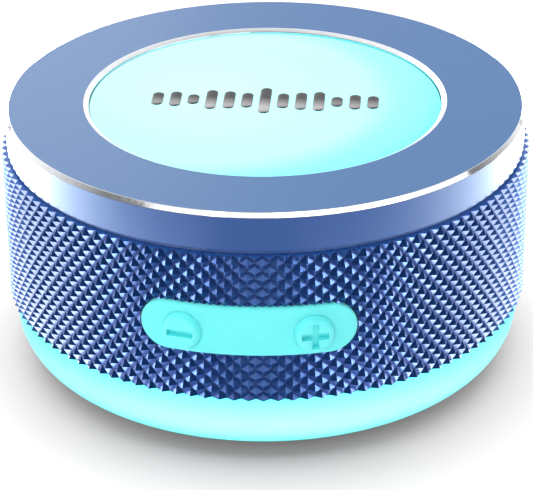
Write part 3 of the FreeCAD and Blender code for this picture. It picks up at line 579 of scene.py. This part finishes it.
def board_paint():
    """Green solder mask with paler copper runs under it."""
    paint = Paint("green_circuit_board", (0.015, 0.13, 0.05), 0.32, 0.0, Coat_Weight=0.4)
    runs = paint.node("ShaderNodeTexBrick")
    runs.inputs["Scale"].default_value = 420
    runs.inputs["Mortar Size"].default_value = 0.05
    runs.inputs["Color1"].default_value = (0.015, 0.13, 0.05, 1)
    runs.inputs["Color2"].default_value = (0.018, 0.15, 0.06, 1)
    runs.inputs["Mortar"].default_value = (0.05, 0.27, 0.10, 1)
    paint.link(paint.place, runs.inputs["Vector"])
    paint.link(runs.outputs["Color"], paint.shader.inputs["Base Color"])
    paint.vary_rough(paint.noise(300, 3), 0.06)
    return paint.bump(runs.outputs["Fac"], 1.5e-5, 0.5).material


def pouch_paint():
    """Laminated battery pouch, softly crumpled."""
    paint = Paint("silver_battery_wrap", (0.56, 0.58, 0.60), 0.34, 0.7)
    paint.vary_color(paint.noise(60, 4), 0.9, 1.08)
    paint.vary_rough(paint.noise(200, 4), 0.09)
    return paint.bump(paint.noise(170, 4), 1.2e-4, 0.5).material


def lead_paint():
    """Insulation: one wire red and the other black, told apart by side."""
    paint = Paint("lead_insulation", (0.35, 0.02, 0.02), 0.4)
    chosen = paint.node("ShaderNodeMath", operation="GREATER_THAN")
    chosen.inputs[1].default_value = 0.0
    paint.link(paint.axis("X"), chosen.inputs[0])
    mix = paint.node("ShaderNodeMix", data_type="RGBA")
    share, red, black = mix.inputs[0], mix.inputs[6], mix.inputs[7]
    red.default_value = (0.42, 0.02, 0.02, 1)
    black.default_value = (0.02, 0.02, 0.025, 1)
    paint.link(chosen.outputs["Value"], share)
    paint.link(mix.outputs[2], paint.shader.inputs["Base Color"])
    paint.vary_rough(paint.noise(600, 3), 0.06)
    return paint.bump(paint.noise(2000, 3), 6e-6, 0.5).material


def clear_paint():
    """Cloudy clear resin of the lamp and its light pipe."""
    paint = Paint("clear_lamp_resin", (0.92, 0.95, 0.97), 0.12, 0.0, Transmission_Weight=0.6,
                  IOR=1.5)
    paint.vary_color(paint.noise(300, 3), 0.96, 1.03)
    return paint.vary_rough(paint.noise(500, 3), 0.04).material


PAINTS = {
    "satin_blue_metal": satin_blue_paint(),
    "gloss_pale_blue": gloss_disc_paint(),
    "polished_chrome": chrome_paint(),
    "knurled_blue_metal": knurl_paint(),
    "pale_blue_silicone": silicone_paint(),
    "pale_blue_base": base_paint(),
    "grey_foot_rubber": rubber_paint("grey_foot_rubber", (0.07, 0.075, 0.085)),
    "navy_seal_rubber": rubber_paint("navy_seal_rubber", (0.02, 0.085, 0.30), 0.4),
    "navy_grille_metal": powder_paint("navy_grille_metal", (0.02, 0.045, 0.15)),
    "black_foam": foam_paint(),
    "black_moulded_plastic": moulded_paint("black_moulded_plastic", (0.022, 0.023, 0.026)),
    "zinc_screw_steel": steel_paint("zinc_screw_steel", (0.58, 0.60, 0.63), 0.3, (1, 1, 4)),
    "black_driver_steel": powder_paint("black_driver_steel", (0.018, 0.018, 0.02)),
    "black_surround_rubber": rubber_paint("black_surround_rubber", (0.016, 0.016, 0.018), 0.5),
    "black_cone_paper": woven_paint("black_cone_paper", (0.03, 0.03, 0.033), 0.35 * MM, 3e-5),
    "amber_former_film": moulded_paint("amber_former_film", (0.42, 0.15, 0.02), 0.25, 3000, 0.4),
    "copper_winding": winding_paint(),
    "amber_spider_cloth": woven_paint("amber_spider_cloth", (0.50, 0.28, 0.08), 0.3 * MM, 5e-5),
    "plated_steel": steel_paint("plated_steel", (0.56, 0.57, 0.60), 0.34, (1, 1, 6)),
    "dark_ferrite": ferrite_paint(),
    "brass_terminals": steel_paint("brass_terminals", (0.66, 0.48, 0.18), 0.3, (6, 1, 1)),
    "green_circuit_board": board_paint(),
    "shield_can_steel": steel_paint("shield_can_steel", (0.62, 0.63, 0.66), 0.28, (1, 5, 1)),
    "black_chip_epoxy": moulded_paint("black_chip_epoxy", (0.014, 0.014, 0.016), 0.42, 5200),
    "capacitor_aluminium": steel_paint("capacitor_aluminium", (0.70, 0.71, 0.74), 0.25, (1, 1, 5)),
    "silver_battery_wrap": pouch_paint(),
    "cream_connector_plastic": moulded_paint("cream_connector_plastic", (0.70, 0.64, 0.48), 0.4),
    "lead_insulation": lead_paint(),
    "socket_steel": steel_paint("socket_steel", (0.64, 0.65, 0.68), 0.22, (1, 4, 1)),
    "navy_knob_plastic": moulded_paint("navy_knob_plastic", (0.018, 0.04, 0.14), 0.42),
    "clear_lamp_resin": clear_paint(),
}
BAND_PAINT = band_blue_paint()
BRIGHT_PAINT = bright_cut_paint()
LIT_COLLAR_PAINT = lit_collar_paint()


def paint_cad_nodes():
    """Every carried-over CAD node gets its slot's full material."""
    for entry in frame["record"]["subparts"]:
        node = NODES[entry["node"]]
        material = PAINTS[entry["material_slot"]]
        node.data.materials.clear()
        node.data.materials.append(material)
        node.data.polygons.foreach_set("material_index", [0] * len(node.data.polygons))


# ---------------- top

def make_ring():
    """Satin face, bright inner bevel, bright outer chamfer and polished band in one turning."""
    face, chamfer_drop = 42.0 * MM, 0.7 * MM
    window, bevel, wall = 29.7 * MM, 0.4 * MM, 28.9 * MM
    soft, crisp, break_edge = 0.06 * MM, 0.02 * MM, 0.15 * MM
    plate = TOP - PLATE_THICKNESS
    inner_wall = 40.9 * MM
    profile = [
        (wall, plate), (inner_wall, plate), (inner_wall, BAND_LOW),
        (BAND_RADIUS - break_edge, BAND_LOW), (BAND_RADIUS, BAND_LOW + break_edge),
        (BAND_RADIUS, TOP - chamfer_drop - soft), (BAND_RADIUS - crisp, TOP - chamfer_drop),
        (face + crisp, TOP - 2 * crisp), (face - soft, TOP),
        (window + soft, TOP), (window - crisp, TOP - crisp),
        (wall + 1.5 * crisp, TOP - bevel + crisp), (wall, TOP - bevel - soft),
    ]
    satin_spans, band_spans = (8,), (0, 1, 2, 3, 4)

    def material_of(k):
        if k in satin_spans:
            return 0
        return 1 if k in band_spans else 2

    materials = [PAINTS["satin_blue_metal"], BAND_PAINT, BRIGHT_PAINT]
    return turned("ring_shell", profile, materials, ("top_bezel_ring",),
                  around=360, sharp=12, material_of=material_of)


def make_disc():
    """Glossy disc with a small rounded rim and a flange under the ring."""
    radius, flange = 28.8 * MM, 31.5 * MM
    step, bottom = TOP - PLATE_THICKNESS, low_of("top_disc")[2]
    soft = 0.25 * MM
    rim = arc_points((radius - soft, DISC_TOP - soft), soft, 0, 90, 8)
    profile = [(0, bottom), (flange, bottom), (flange, step), (radius, step)] + rim
    profile += [(radius * share, DISC_TOP) for share in (0.6, 0.25, 0)]
    turned("gloss_disc", profile, [PAINTS["gloss_pale_blue"]], ("top_disc",),
           around=360, sharp=30)


def rounded_bar(bm, x, half_width, half_height, low, rise):
    """A bar with round ends lying on the disc, its back crowned like a pebble."""
    steps, rows, crown_width = 12, 8, 0.03
    straight = half_height - half_width
    loops = []
    for row in range(rows + 1):
        angle = math.pi / 2 * row / rows
        width = half_width * (crown_width + (1 - crown_width) * math.cos(angle))
        z = low + rise * math.sin(angle)
        loop = []
        for end in (0, 1):
            middle = straight if end == 0 else -straight
            for i in range(steps + 1):
                turn = math.pi * end + math.pi * i / steps
                loop.append(bm.verts.new((x + width * math.cos(turn),
                                          middle + width * math.sin(turn), z)))
        loops.append(loop)
    for first, second in zip(loops, loops[1:]):
        join_rings(bm, first, second)
    bm.faces.new(list(reversed(loops[0])))
    bm.faces.new(loops[-1])


def make_emblem():
    """Generic waveform: a row of chrome bars of varying length."""
    bm = bmesh.new()
    side_bars, pitch, half_width, rise = 6, 2.95 * MM, 0.95 * MM, 0.3 * MM
    least, growth = 1.7 * MM, 3.3 * MM
    swing_step, fade_reach = 1.15, side_bars + 2.5
    for step in range(-side_bars, side_bars + 1):
        swing = abs(math.cos(step * swing_step))
        fade = 1 - abs(step) / fade_reach
        rounded_bar(bm, step * pitch, half_width, least + growth * swing * fade, DISC_TOP, rise)
    mesh = mesh_from(bm, "emblem_bars", sharp_degrees=40)
    return add_object("emblem_bars", mesh, [PAINTS["polished_chrome"]], "housing",
                      ("disc_emblem",))


def make_seal():
    """Rubber ring that fills the groove between the band and the wall."""
    low, high = low_of("bezel_seal")[2], high_of("bezel_seal")[2]
    outer, soft = high_of("bezel_seal")[0], 0.1 * MM
    profile = [(SLEEVE_BORE, low), (outer - soft, low), (outer, low + soft),
               (outer, high - soft), (outer - soft, high), (SLEEVE_BORE, high)]
    return turned("gap_seal", profile, [PAINTS["navy_seal_rubber"]],
                  ("bezel_seal",))


# ---------------- wall

def make_knurl():
    """Grid whose corners alternate between points and valleys; each cell folds on its valleys."""
    bm = bmesh.new()
    grid = []
    for k in range(KNURL_ROWS + 1):
        z = KNURL_LOW + (KNURL_HIGH - KNURL_LOW) * k / KNURL_ROWS
        row = []
        for i in range(KNURL_COLUMNS):
            r = KNURL_RADIUS if (i + k) % 2 == 0 else KNURL_RADIUS - KNURL_DEPTH
            angle = KNURL_START + 2 * math.pi * i / KNURL_COLUMNS
            row.append(bm.verts.new((r * math.cos(angle), r * math.sin(angle), z)))
        grid.append(row)
    for k in range(KNURL_ROWS):
        for i in range(KNURL_COLUMNS):
            j = (i + 1) % KNURL_COLUMNS
            a, b, c, d = grid[k][i], grid[k][j], grid[k + 1][j], grid[k + 1][i]
            if (i + k) % 2 == 0:
                bm.faces.new((a, b, d))
                bm.faces.new((b, c, d))
            else:
                bm.faces.new((a, b, c))
                bm.faces.new((a, c, d))
    inner = [round_ring(bm, SLEEVE_BORE, z, KNURL_COLUMNS, KNURL_START)
             for z in (KNURL_LOW, KNURL_HIGH)]
    for i in range(KNURL_COLUMNS):
        j = (i + 1) % KNURL_COLUMNS
        bm.faces.new((inner[0][i], inner[1][i], inner[1][j], inner[0][j]))
        bm.faces.new((grid[0][i], inner[0][i], inner[0][j], grid[0][j]))
        collar = bm.faces.new((grid[-1][i], grid[-1][j], inner[1][j], inner[1][i]))
        # The collar takes the paler paint that stands in for light under the band's overhang.
        collar.material_index = 1
    mesh = mesh_from(bm, "knurled_wall")
    wall = add_object("knurled_wall", mesh, [PAINTS["knurled_blue_metal"], LIT_COLLAR_PAINT],
                      "housing", ("knurled_sleeve",))
    clearance = 0.02 * MM
    for name, half, low, high, swing in (
            ("front", PANEL_HALF, PANEL_LOW, PANEL_HIGH, 0.0),
            ("rear", REAR_HALF, REAR_LOW, REAR_HIGH, math.pi)):
        radius = (high - low) / 2 + clearance
        loop = stadium_loop(half + clearance - radius, radius, 2, 40)
        cut_through(wall, "cut_" + name, loop, (low + high) / 2, swing)
    for polygon in wall.data.polygons:
        polygon.use_smooth = False
    return wall


def fill_stadium(bm, loop, straight_steps, cap_steps, flipped):
    """Close a stadium loop: strips between its straight sides and one face at each end."""
    count = len(loop)
    faces = []
    for i in range(straight_steps):
        mirror = 2 * straight_steps + cap_steps - i
        faces.append([loop[i], loop[i + 1], loop[mirror - 1], loop[mirror % count]])
    faces.append(loop[straight_steps:straight_steps + cap_steps + 1])
    faces.append(loop[2 * straight_steps + cap_steps:] + [loop[0]])
    for corners in faces:
        bm.faces.new(corners[::-1] if flipped else corners)


def make_wall_panel(name, half, low, high, front, node):
    """A stadium pillow that follows the wall: rings offset inwards, rounded at the rim."""
    radius = (high - low) / 2
    level = (low + high) / 2
    straight_steps, cap_steps, arc_steps, face_rings = 48, 24, 8, 5
    rings = [(0.0, PANEL_BACK)]
    for i in range(arc_steps + 1):
        angle = math.pi / 2 * i / arc_steps
        rings.append((PANEL_SOFT * (1 - math.cos(angle)),
                      PANEL_RADIUS - PANEL_SOFT * (1 - math.sin(angle))))
    innermost = radius * 0.999
    for i in range(1, face_rings + 1):
        rings.append((PANEL_SOFT + (innermost - PANEL_SOFT) * i / face_rings, PANEL_RADIUS))
    sign = -1 if front else 1
    bm = bmesh.new()
    loops = []
    for inset, distance in rings:
        loop = []
        for s, z in stadium_loop(half - radius, radius - inset, straight_steps, cap_steps):
            angle = math.asin(max(-1, min(1, s / PANEL_RADIUS)))
            loop.append(bm.verts.new((distance * math.sin(angle),
                                      sign * distance * math.cos(angle), level + z)))
        loops.append(loop)
    for first, second in zip(loops, loops[1:]):
        join_rings(bm, first, second)
    fill_stadium(bm, loops[-1], straight_steps, cap_steps, False)
    fill_stadium(bm, loops[0], straight_steps, cap_steps, True)
    bmesh.ops.remove_doubles(bm, verts=bm.verts, dist=TINY)
    mesh = mesh_from(bm, name)
    return add_object(name, mesh, [PAINTS["pale_blue_silicone"]], "housing",
                      (node,))


def make_front_panel():
    """Key panel with a round hole for each key."""
    panel = make_wall_panel("soft_key_panel", PANEL_HALF, PANEL_LOW, PANEL_HIGH, True,
                            "button_panel")
    for side in (-1, 1):
        cut_through(panel, "key_hole", circle_loop(KEY_HOLE, 96), KEY_LEVEL, side * KEY_ANGLE)
    return panel


def key_point(side, s, z, distance):
    """A point in a key's own frame: s across, z up, distance along its axis."""
    swing = side * KEY_ANGLE
    return (s * math.cos(swing) + distance * math.sin(swing),
            s * math.sin(swing) - distance * math.cos(swing), z)


def make_key(side, name, nodes, body, upright):
    """Low round key with soft edges and a sunk sign."""
    face, back = 44.75 * MM, 40.3 * MM
    foot, foot_reach = KEY_HOLE - 0.015 * MM, 43.35 * MM
    top_radius, soft, flat = 2.95 * MM, 0.7 * MM, 1.4 * MM
    profile = [(0, back), (foot, back), (foot, foot_reach)]
    profile += arc_points((top_radius - soft, face - soft), soft, 0, 90, 8)
    profile += [(flat, face), (0, face)]
    bm = bmesh.new()
    around = 96
    rings = []
    for r, d in profile:
        outline = circle_loop(r, around) if r > TINY else [(0, 0)]
        rings.append([bm.verts.new(key_point(side, s, KEY_LEVEL + z, d)) for s, z in outline])
    for first, second in zip(rings, rings[1:]):
        join_rings(bm, first, second)
    mesh = mesh_from(bm, name)
    key = add_object(name, mesh, [PAINTS["pale_blue_silicone"]], body, nodes)
    arm, stroke, depth, clear = 2.1 * MM, 0.55 * MM, 0.95 * MM, 1 * MM
    bars = [(arm, stroke)] + ([(stroke, arm)] if upright else [])
    for half_s, half_z in bars:
        bar = lifted(box_loop(half_s, half_z), KEY_LEVEL)
        cut_from(key, prism("sign", bar, face - depth, face + clear, side * KEY_ANGLE))
    return key


def make_rear_panel():
    """Rear panel: plug recess, switch slot, and round holes for the lamp and the microphone."""
    panel = make_wall_panel("soft_port_panel", REAR_HALF, REAR_LOW, REAR_HIGH, False,
                            "rear_port_panel")
    port_half, port_radius = 3.0 * MM, 3.5 * MM
    port = stadium_loop(port_half, port_radius, 2, 32)
    cut_through(panel, "port", port, PORT_LEVEL, math.pi)
    slot_half, slot_rise = 2.8 * MM, 1.3 * MM
    slot = box_loop(slot_half, slot_rise)
    cut_through(panel, "slot", slot, PORT_LEVEL, math.pi - SWITCH_ANGLE)
    lamp_hole, sound_hole = 0.95 * MM, 0.5 * MM
    for radius, angle in ((lamp_hole, LAMP_ANGLE), (sound_hole, SOUND_ANGLE)):
        cut_through(panel, "hole", circle_loop(radius, 48), PORT_LEVEL, math.pi + angle)
    return panel


# ---------------- base

def make_base():
    """Soft base: straight top lip, then one large round down to a flat floor."""
    corner, inner_corner = 7.8 * MM, 4.8 * MM
    opening, recess, ledge, floor = 24 * MM, 26.2 * MM, 3.4 * MM, 4.8 * MM
    high = KNURL_LOW
    soft, bevel = 0.15 * MM, 0.3 * MM
    profile = [(opening, BASE_LOW + bevel), (opening + bevel, BASE_LOW)]
    profile += arc_points((BASE_RADIUS - corner, BASE_LOW + corner), corner, -90, 0, 40)
    profile += [(BASE_RADIUS, high - soft), (BASE_RADIUS - soft, high), (SLEEVE_BORE, high)]
    profile += arc_points((SLEEVE_BORE - inner_corner, floor + inner_corner), inner_corner,
                          0, -90, 12)
    profile += [(recess, floor), (recess, ledge), (opening, ledge)]
    return turned("soft_base", profile, [PAINTS["pale_blue_base"]],
                  ("base_shell",), around=360)


def make_feet():
    """Four round rubber pads with softened rims."""
    bm = bmesh.new()
    radius, flat, soft, stub = 3.9 * MM, 2.73 * MM, 0.35 * MM, 0.8 * MM
    high = high_of("foot_pads")[2] - stub
    low = low_of("foot_pads")[2]
    for quarter in range(4):
        before = set(bm.verts)
        profile = [(0, low), (flat, low)]
        profile += arc_points((radius - soft, low + soft), soft, -90, 0, 6)
        profile += [(radius, high), (0, high)]
        lathe(bm, profile, around=64)
        angle = math.pi / 4 + quarter * math.pi / 2
        centre = Vector((POST_CIRCLE * math.cos(angle), POST_CIRCLE * math.sin(angle), 0))
        bmesh.ops.translate(bm, verts=[v for v in bm.verts if v not in before], vec=centre)
    mesh = mesh_from(bm, "rubber_feet", sharp_degrees=40)
    add_object("rubber_feet", mesh, [PAINTS["grey_foot_rubber"]], "housing",
               ("foot_pads",))


# ---------------- loudspeaker

def make_cone():
    """Ribbed cone and dust cap as smooth turnings on the moving body."""
    low = low_of("driver_cone")[2]
    edge, rim, lip = 16.4 * MM, 17.1 * MM, 0.4 * MM
    mouth, throat, depth, neck = 16.0 * MM, 6.45 * MM, 4.0 * MM, 0.5 * MM
    bottom = low + lip + depth
    front = [(edge, low)] + waved((mouth, low + lip), (throat, bottom), 0.06 * MM, 5, 24)
    front += [(throat, bottom + neck), (throat + neck, bottom + neck)]
    back = [(16.2 * MM, low + 2 * lip), (rim, low + lip), (rim, low)]
    turned("cone_paper", front + back, [PAINTS["black_cone_paper"]],
           ("driver_cone",), body="diaphragm", around=192, sharp=50)
    cap_low = low_of("driver_dust_cap")[2]
    cap_rim, rise, skin, shrink, steps = 7.4 * MM, 2.15 * MM, 0.15 * MM, 0.97, 12
    under = []
    for i in range(steps + 1):
        angle = math.pi / 2 * i / steps
        under.append((cap_rim * math.sin(angle), cap_low + rise * (1 - math.cos(angle))))
    over = [(r * shrink, z + skin) for r, z in reversed(under)]
    turned("dust_cap_dome", under + over, [PAINTS["black_cone_paper"]],
           ("driver_dust_cap",), body="diaphragm", around=128, sharp=60)


def make_flexing(name, outline, node, slot):
    """A ring of cloth or rubber between the frame and the moving cone."""
    piece = turned(name, outline, [PAINTS[slot]], (node,), body=None, around=192, sharp=60)
    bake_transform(piece)
    return piece


def make_suspension():
    """The surround and the spider, each a waved skin that closes on itself."""
    low = low_of("driver_surround")[2]
    outer, inner, climb, skin = 18.95 * MM, 17.15 * MM, 1.5 * MM, 0.35 * MM
    overlap, rim, lip = 0.1 * MM, 20.8 * MM, 0.4 * MM
    lower = waved((outer, low), (inner, low + climb), 0.12 * MM, 1, 14)
    upper = [(r + overlap, z + skin) for r, z in reversed(lower)]
    flange = [(rim, low + lip), (rim, low)]
    make_flexing("rubber_surround", lower + upper + flange, "driver_surround",
                 "black_surround_rubber")
    high, inner_low = high_of("driver_spider")[2], low_of("driver_spider")[2]
    outer, inner, cloth, gap = 13.9 * MM, 6.55 * MM, 0.2 * MM, 0.02 * MM
    top = high - cloth - gap
    drop = 0.8 * (high - inner_low - cloth)
    under = waved((outer, top), (inner, top - drop), 0.045 * MM, 4, 40)
    over = [(r, z + cloth) for r, z in reversed(under)]
    make_flexing("woven_spider", under + over, "driver_spider", "amber_spider_cloth")


# ---------------- studio

# Tints of the lamps.
WHITE = (1.0, 1.0, 1.0)
COOL = (0.78, 0.93, 1.0)
PALE = (1.0, 0.97, 0.82)


def add_area(name, place, target, width, height, radiance, diffuse=True, glossy=True, tint=WHITE):
    """A rectangular lamp of an even radiance; it may light only matt or only shiny surfaces."""
    light = bpy.data.lights.new(name, "AREA")
    light.color = tint
    light.shape = "RECTANGLE"
    light.size, light.size_y = width, height
    light.energy = radiance * math.pi * width * height
    lamp = bpy.data.objects.new(name, light)
    lamp.location = place
    lamp.rotation_euler = (Vector(target) - Vector(place)).to_track_quat("-Z", "Y").to_euler()
    lamp.visible_camera = False
    lamp.visible_diffuse = diffuse
    lamp.visible_glossy = glossy
    bpy.context.scene.collection.objects.link(lamp)
    return lamp


def make_surround_light():
    """A pale room: dim where the panel faces, brighter behind and to the left."""
    world = bpy.data.worlds.new("studio")
    world.use_nodes = True
    bpy.context.scene.world = world
    nodes, links = world.node_tree.nodes, world.node_tree.links
    place = nodes.new("ShaderNodeTexCoord")
    toward = nodes.new("ShaderNodeVectorMath")
    toward.operation = "DOT_PRODUCT"
    bright_side = (-0.30, 0.95, 0.0)
    toward.inputs[1].default_value = bright_side
    ramp = nodes.new("ShaderNodeValToRGB")
    shade = nodes.new("ShaderNodeMapRange")
    shade.inputs["From Min"].default_value = -1.0
    links.new(place.outputs["Generated"], toward.inputs[0])
    links.new(toward.outputs["Value"], shade.inputs["Value"])
    links.new(shade.outputs["Result"], ramp.inputs["Fac"])
    links.new(ramp.outputs["Color"], nodes["Background"].inputs["Color"])
    stops = ((0.0, 0.08), (0.3, 0.10), (0.5, 0.20), (0.62, 0.45), (0.75, 0.75), (1.0, 1.0))
    fill_ramp(ramp.color_ramp, [(position, (level,) * 3) for position, level in stops])
    strength = 1.3
    nodes["Background"].inputs["Strength"].default_value = strength


# Radiance of each strip of floor beside the ring, front to back.
BAND_RISE = (0.5, 1.0, 2.1, 3.5, 5.0, 6.3, 7.4, 8.4, 9.0)
# Radiance of each strip of floor under the wall, from near the middle outwards.
KNURL_RISE = (2.8, 12.0, 11.0, 8.0, 6.0, 5.0)
# Cards round the wall: azimuth from the front in degrees, height in metres, radiance.
KNURL_CARDS = ((68, 0.145, 1.6), (92, 0.09, 11.5), (116, 0.012, 10.5), (140, -0.075, 4.5),
               (163, -0.17, 1.2))
CARD_REACH = 0.5
WALL_MIDDLE = (0, 0, 0.03)


def card_place(azimuth, level):
    """Where a card stands, its azimuth in degrees from the front towards the right."""
    turn = math.radians(azimuth)
    return (CARD_REACH * math.sin(turn), -CARD_REACH * math.cos(turn), level)


def light_only(lamp, pieces, blockers=()):
    """Let a lamp light only the given pieces and, where blockers are given, let only them shade."""
    lit = bpy.data.collections.new(lamp.name + "_lit")
    for piece in pieces:
        lit.objects.link(piece)
    lamp.light_linking.receiver_collection = lit
    if blockers:
        shading = bpy.data.collections.new(lamp.name + "_shading")
        for piece in blockers:
            shading.objects.link(piece)
        lamp.light_linking.blocker_collection = shading


def make_floor():
    """A wide white matt floor."""
    bm = bmesh.new()
    reach = 1.6
    bm.faces.new([bm.verts.new((x, y, 0)) for x, y in box_loop(reach, reach)])
    floor = loose_object("studio_floor", bm)
    paint = Paint("white_floor", (0.91, 0.905, 0.905), 0.9, Specular_IOR_Level=0.0)
    paint.vary_color(paint.noise(3, 2), 0.998, 1.002)
    floor.data.materials.append(paint.material)
    return floor


def light_band(ring):
    """Floor cards beside the object, each brighter than the last, turn the band white sideways."""
    aside, strip, last_edge, width, level = 0.20, 0.02, 0.4, 0.34, 0.002
    for name, side, strength, first in (("left", -1, 1.8, -0.13), ("right", 1, 1.05, -0.124)):
        for step, rise in enumerate(BAND_RISE):
            near = first + strip * step
            far = near + strip if step < len(BAND_RISE) - 1 else last_edge
            middle = (near + far) / 2
            card = add_area("band_card_%s_%d" % (name, step), (side * aside, middle, level),
                            (side * aside, middle, 1), width, far - near, rise * strength,
                            diffuse=False, tint=COOL)
            light_only(card, [ring])
    rim_level, rim_slope = 0.46, 0.0025
    for azimuth in (-42, 8, 40, 70):
        place = card_place(azimuth, rim_level - rim_slope * azimuth)
        card = add_area("rim_card_%d" % (azimuth + 90), place, (0, 0, TOP), 0.55, 0.30, 1.2,
                        diffuse=False)
        light_only(card, [ring])


def light_knurl(wall, shade):
    """Cards beside, behind and under the wall: facets that face sideways or down turn bright."""
    width, height, cool_azimuth = 0.21, 0.34, 100
    gap, strip, last_edge, length, level, cool_strips = 0.008, 0.009, 0.075, 0.14, 0.001, 2
    for name, side in (("left", -1), ("right", 1)):
        for azimuth, card_level, radiance in KNURL_CARDS:
            lamp = add_area("knurl_card_%s_%d" % (name, azimuth),
                            card_place(side * azimuth, card_level), WALL_MIDDLE, width, height,
                            radiance, diffuse=False, tint=COOL if azimuth < cool_azimuth else PALE)
            light_only(lamp, wall, [shade])
        for step, radiance in enumerate(KNURL_RISE):
            near = gap + strip * step
            far = near + strip if step < len(KNURL_RISE) - 1 else last_edge
            middle = side * (near + far) / 2
            lamp = add_area("knurl_under_%s_%d" % (name, step), (middle, 0, level), (middle, 0, 1),
                            far - near, length, radiance, diffuse=False,
                            tint=COOL if step < cool_strips else PALE)
            light_only(lamp, wall, [shade])
        lamp = add_area("knurl_side_%s" % name, card_place(side * 80, 0.0), WALL_MIDDLE, 0.3, 0.3,
                        2.0, glossy=False)
        light_only(lamp, wall, [shade])


def make_studio(ring, wall, panels, base, shade):
    """White floor, soft light from above, and pale cards beside the object."""
    scene = bpy.context.scene
    scene.view_settings.view_transform = "Standard"
    make_surround_light()
    floor = make_floor()
    middle = (0, 0, 0.025)
    add_area("top_softbox", (0.0, 0.05, 0.8), middle, 0.9, 0.9, 3.25, glossy=False)
    for name, pieces, across, level, radiance in (("panel_fill", panels, -0.3, 0.5, 2.4),
                                                  ("base_fill", [base], 0.1, 0.12, 13.5),
                                                  ("floor_fill", [floor], 0.0, 0.30, 2.75)):
        fill = add_area(name, (across, -0.8, level), middle, 0.9, 0.45, radiance, glossy=False)
        light_only(fill, pieces)
    side_fill = add_area("floor_side_fill", (0.7, 0.1, 0.5), middle, 0.5, 0.5, 0.6, glossy=False)
    light_only(side_fill, [floor])
    back_card = add_area("back_left_card", (-0.13, 0.24, 0.15), (-0.02, 0, 0.04), 0.2, 0.18, 1.2,
                         diffuse=False)
    light_only(back_card, [ring])
    light_band(ring)
    light_knurl(wall, shade)


def make_camera():
    """Long lens a little above the object, turned four degrees to the right of the panel."""
    lens, sensor = 164.1, 36.0
    distance, elevation = 0.399, math.radians(24.013)
    azimuth, pitch, roll = math.radians(4.0), math.radians(27.492), math.radians(-0.563)
    level = distance * math.cos(elevation)
    place = Vector((level * math.sin(azimuth), -level * math.cos(azimuth),
                    TOP + distance * math.sin(elevation)))
    right = Vector((math.cos(azimuth), math.sin(azimuth), 0))
    forward = Vector((-math.sin(azimuth) * math.cos(pitch), math.cos(azimuth) * math.cos(pitch),
                      -math.sin(pitch)))
    up = right.cross(forward)
    side = right * math.cos(roll) + up * math.sin(roll)
    top = up * math.cos(roll) - right * math.sin(roll)
    data = bpy.data.cameras.new("camera")
    data.lens = lens
    data.sensor_width = sensor
    camera = bpy.data.objects.new("camera", data)
    turn = Matrix((side, top, -forward)).transposed()
    camera.matrix_world = Matrix.Translation(place) @ turn.to_4x4()
    bpy.context.scene.collection.objects.link(camera)
    bpy.context.scene.camera = camera


# ---------------- build

make_camera()
paint_cad_nodes()
ring_shell = make_ring()
make_disc()
emblem = make_emblem()
seal = make_seal()
knurled_wall = make_knurl()
soft_panels = [
    make_front_panel(),
    make_key(-1, "soft_key_minus", ("key_minus",), "minus_key", False),
    make_key(1, "soft_key_plus", ("key_plus",), "plus_key", True),
    make_rear_panel(),
]
soft_base = make_base()
knurled_wall.visible_diffuse = False
soft_base.visible_diffuse = False
make_feet()
make_cone()
make_suspension()
make_studio(ring_shell, [knurled_wall, seal], soft_panels, soft_base, emblem)
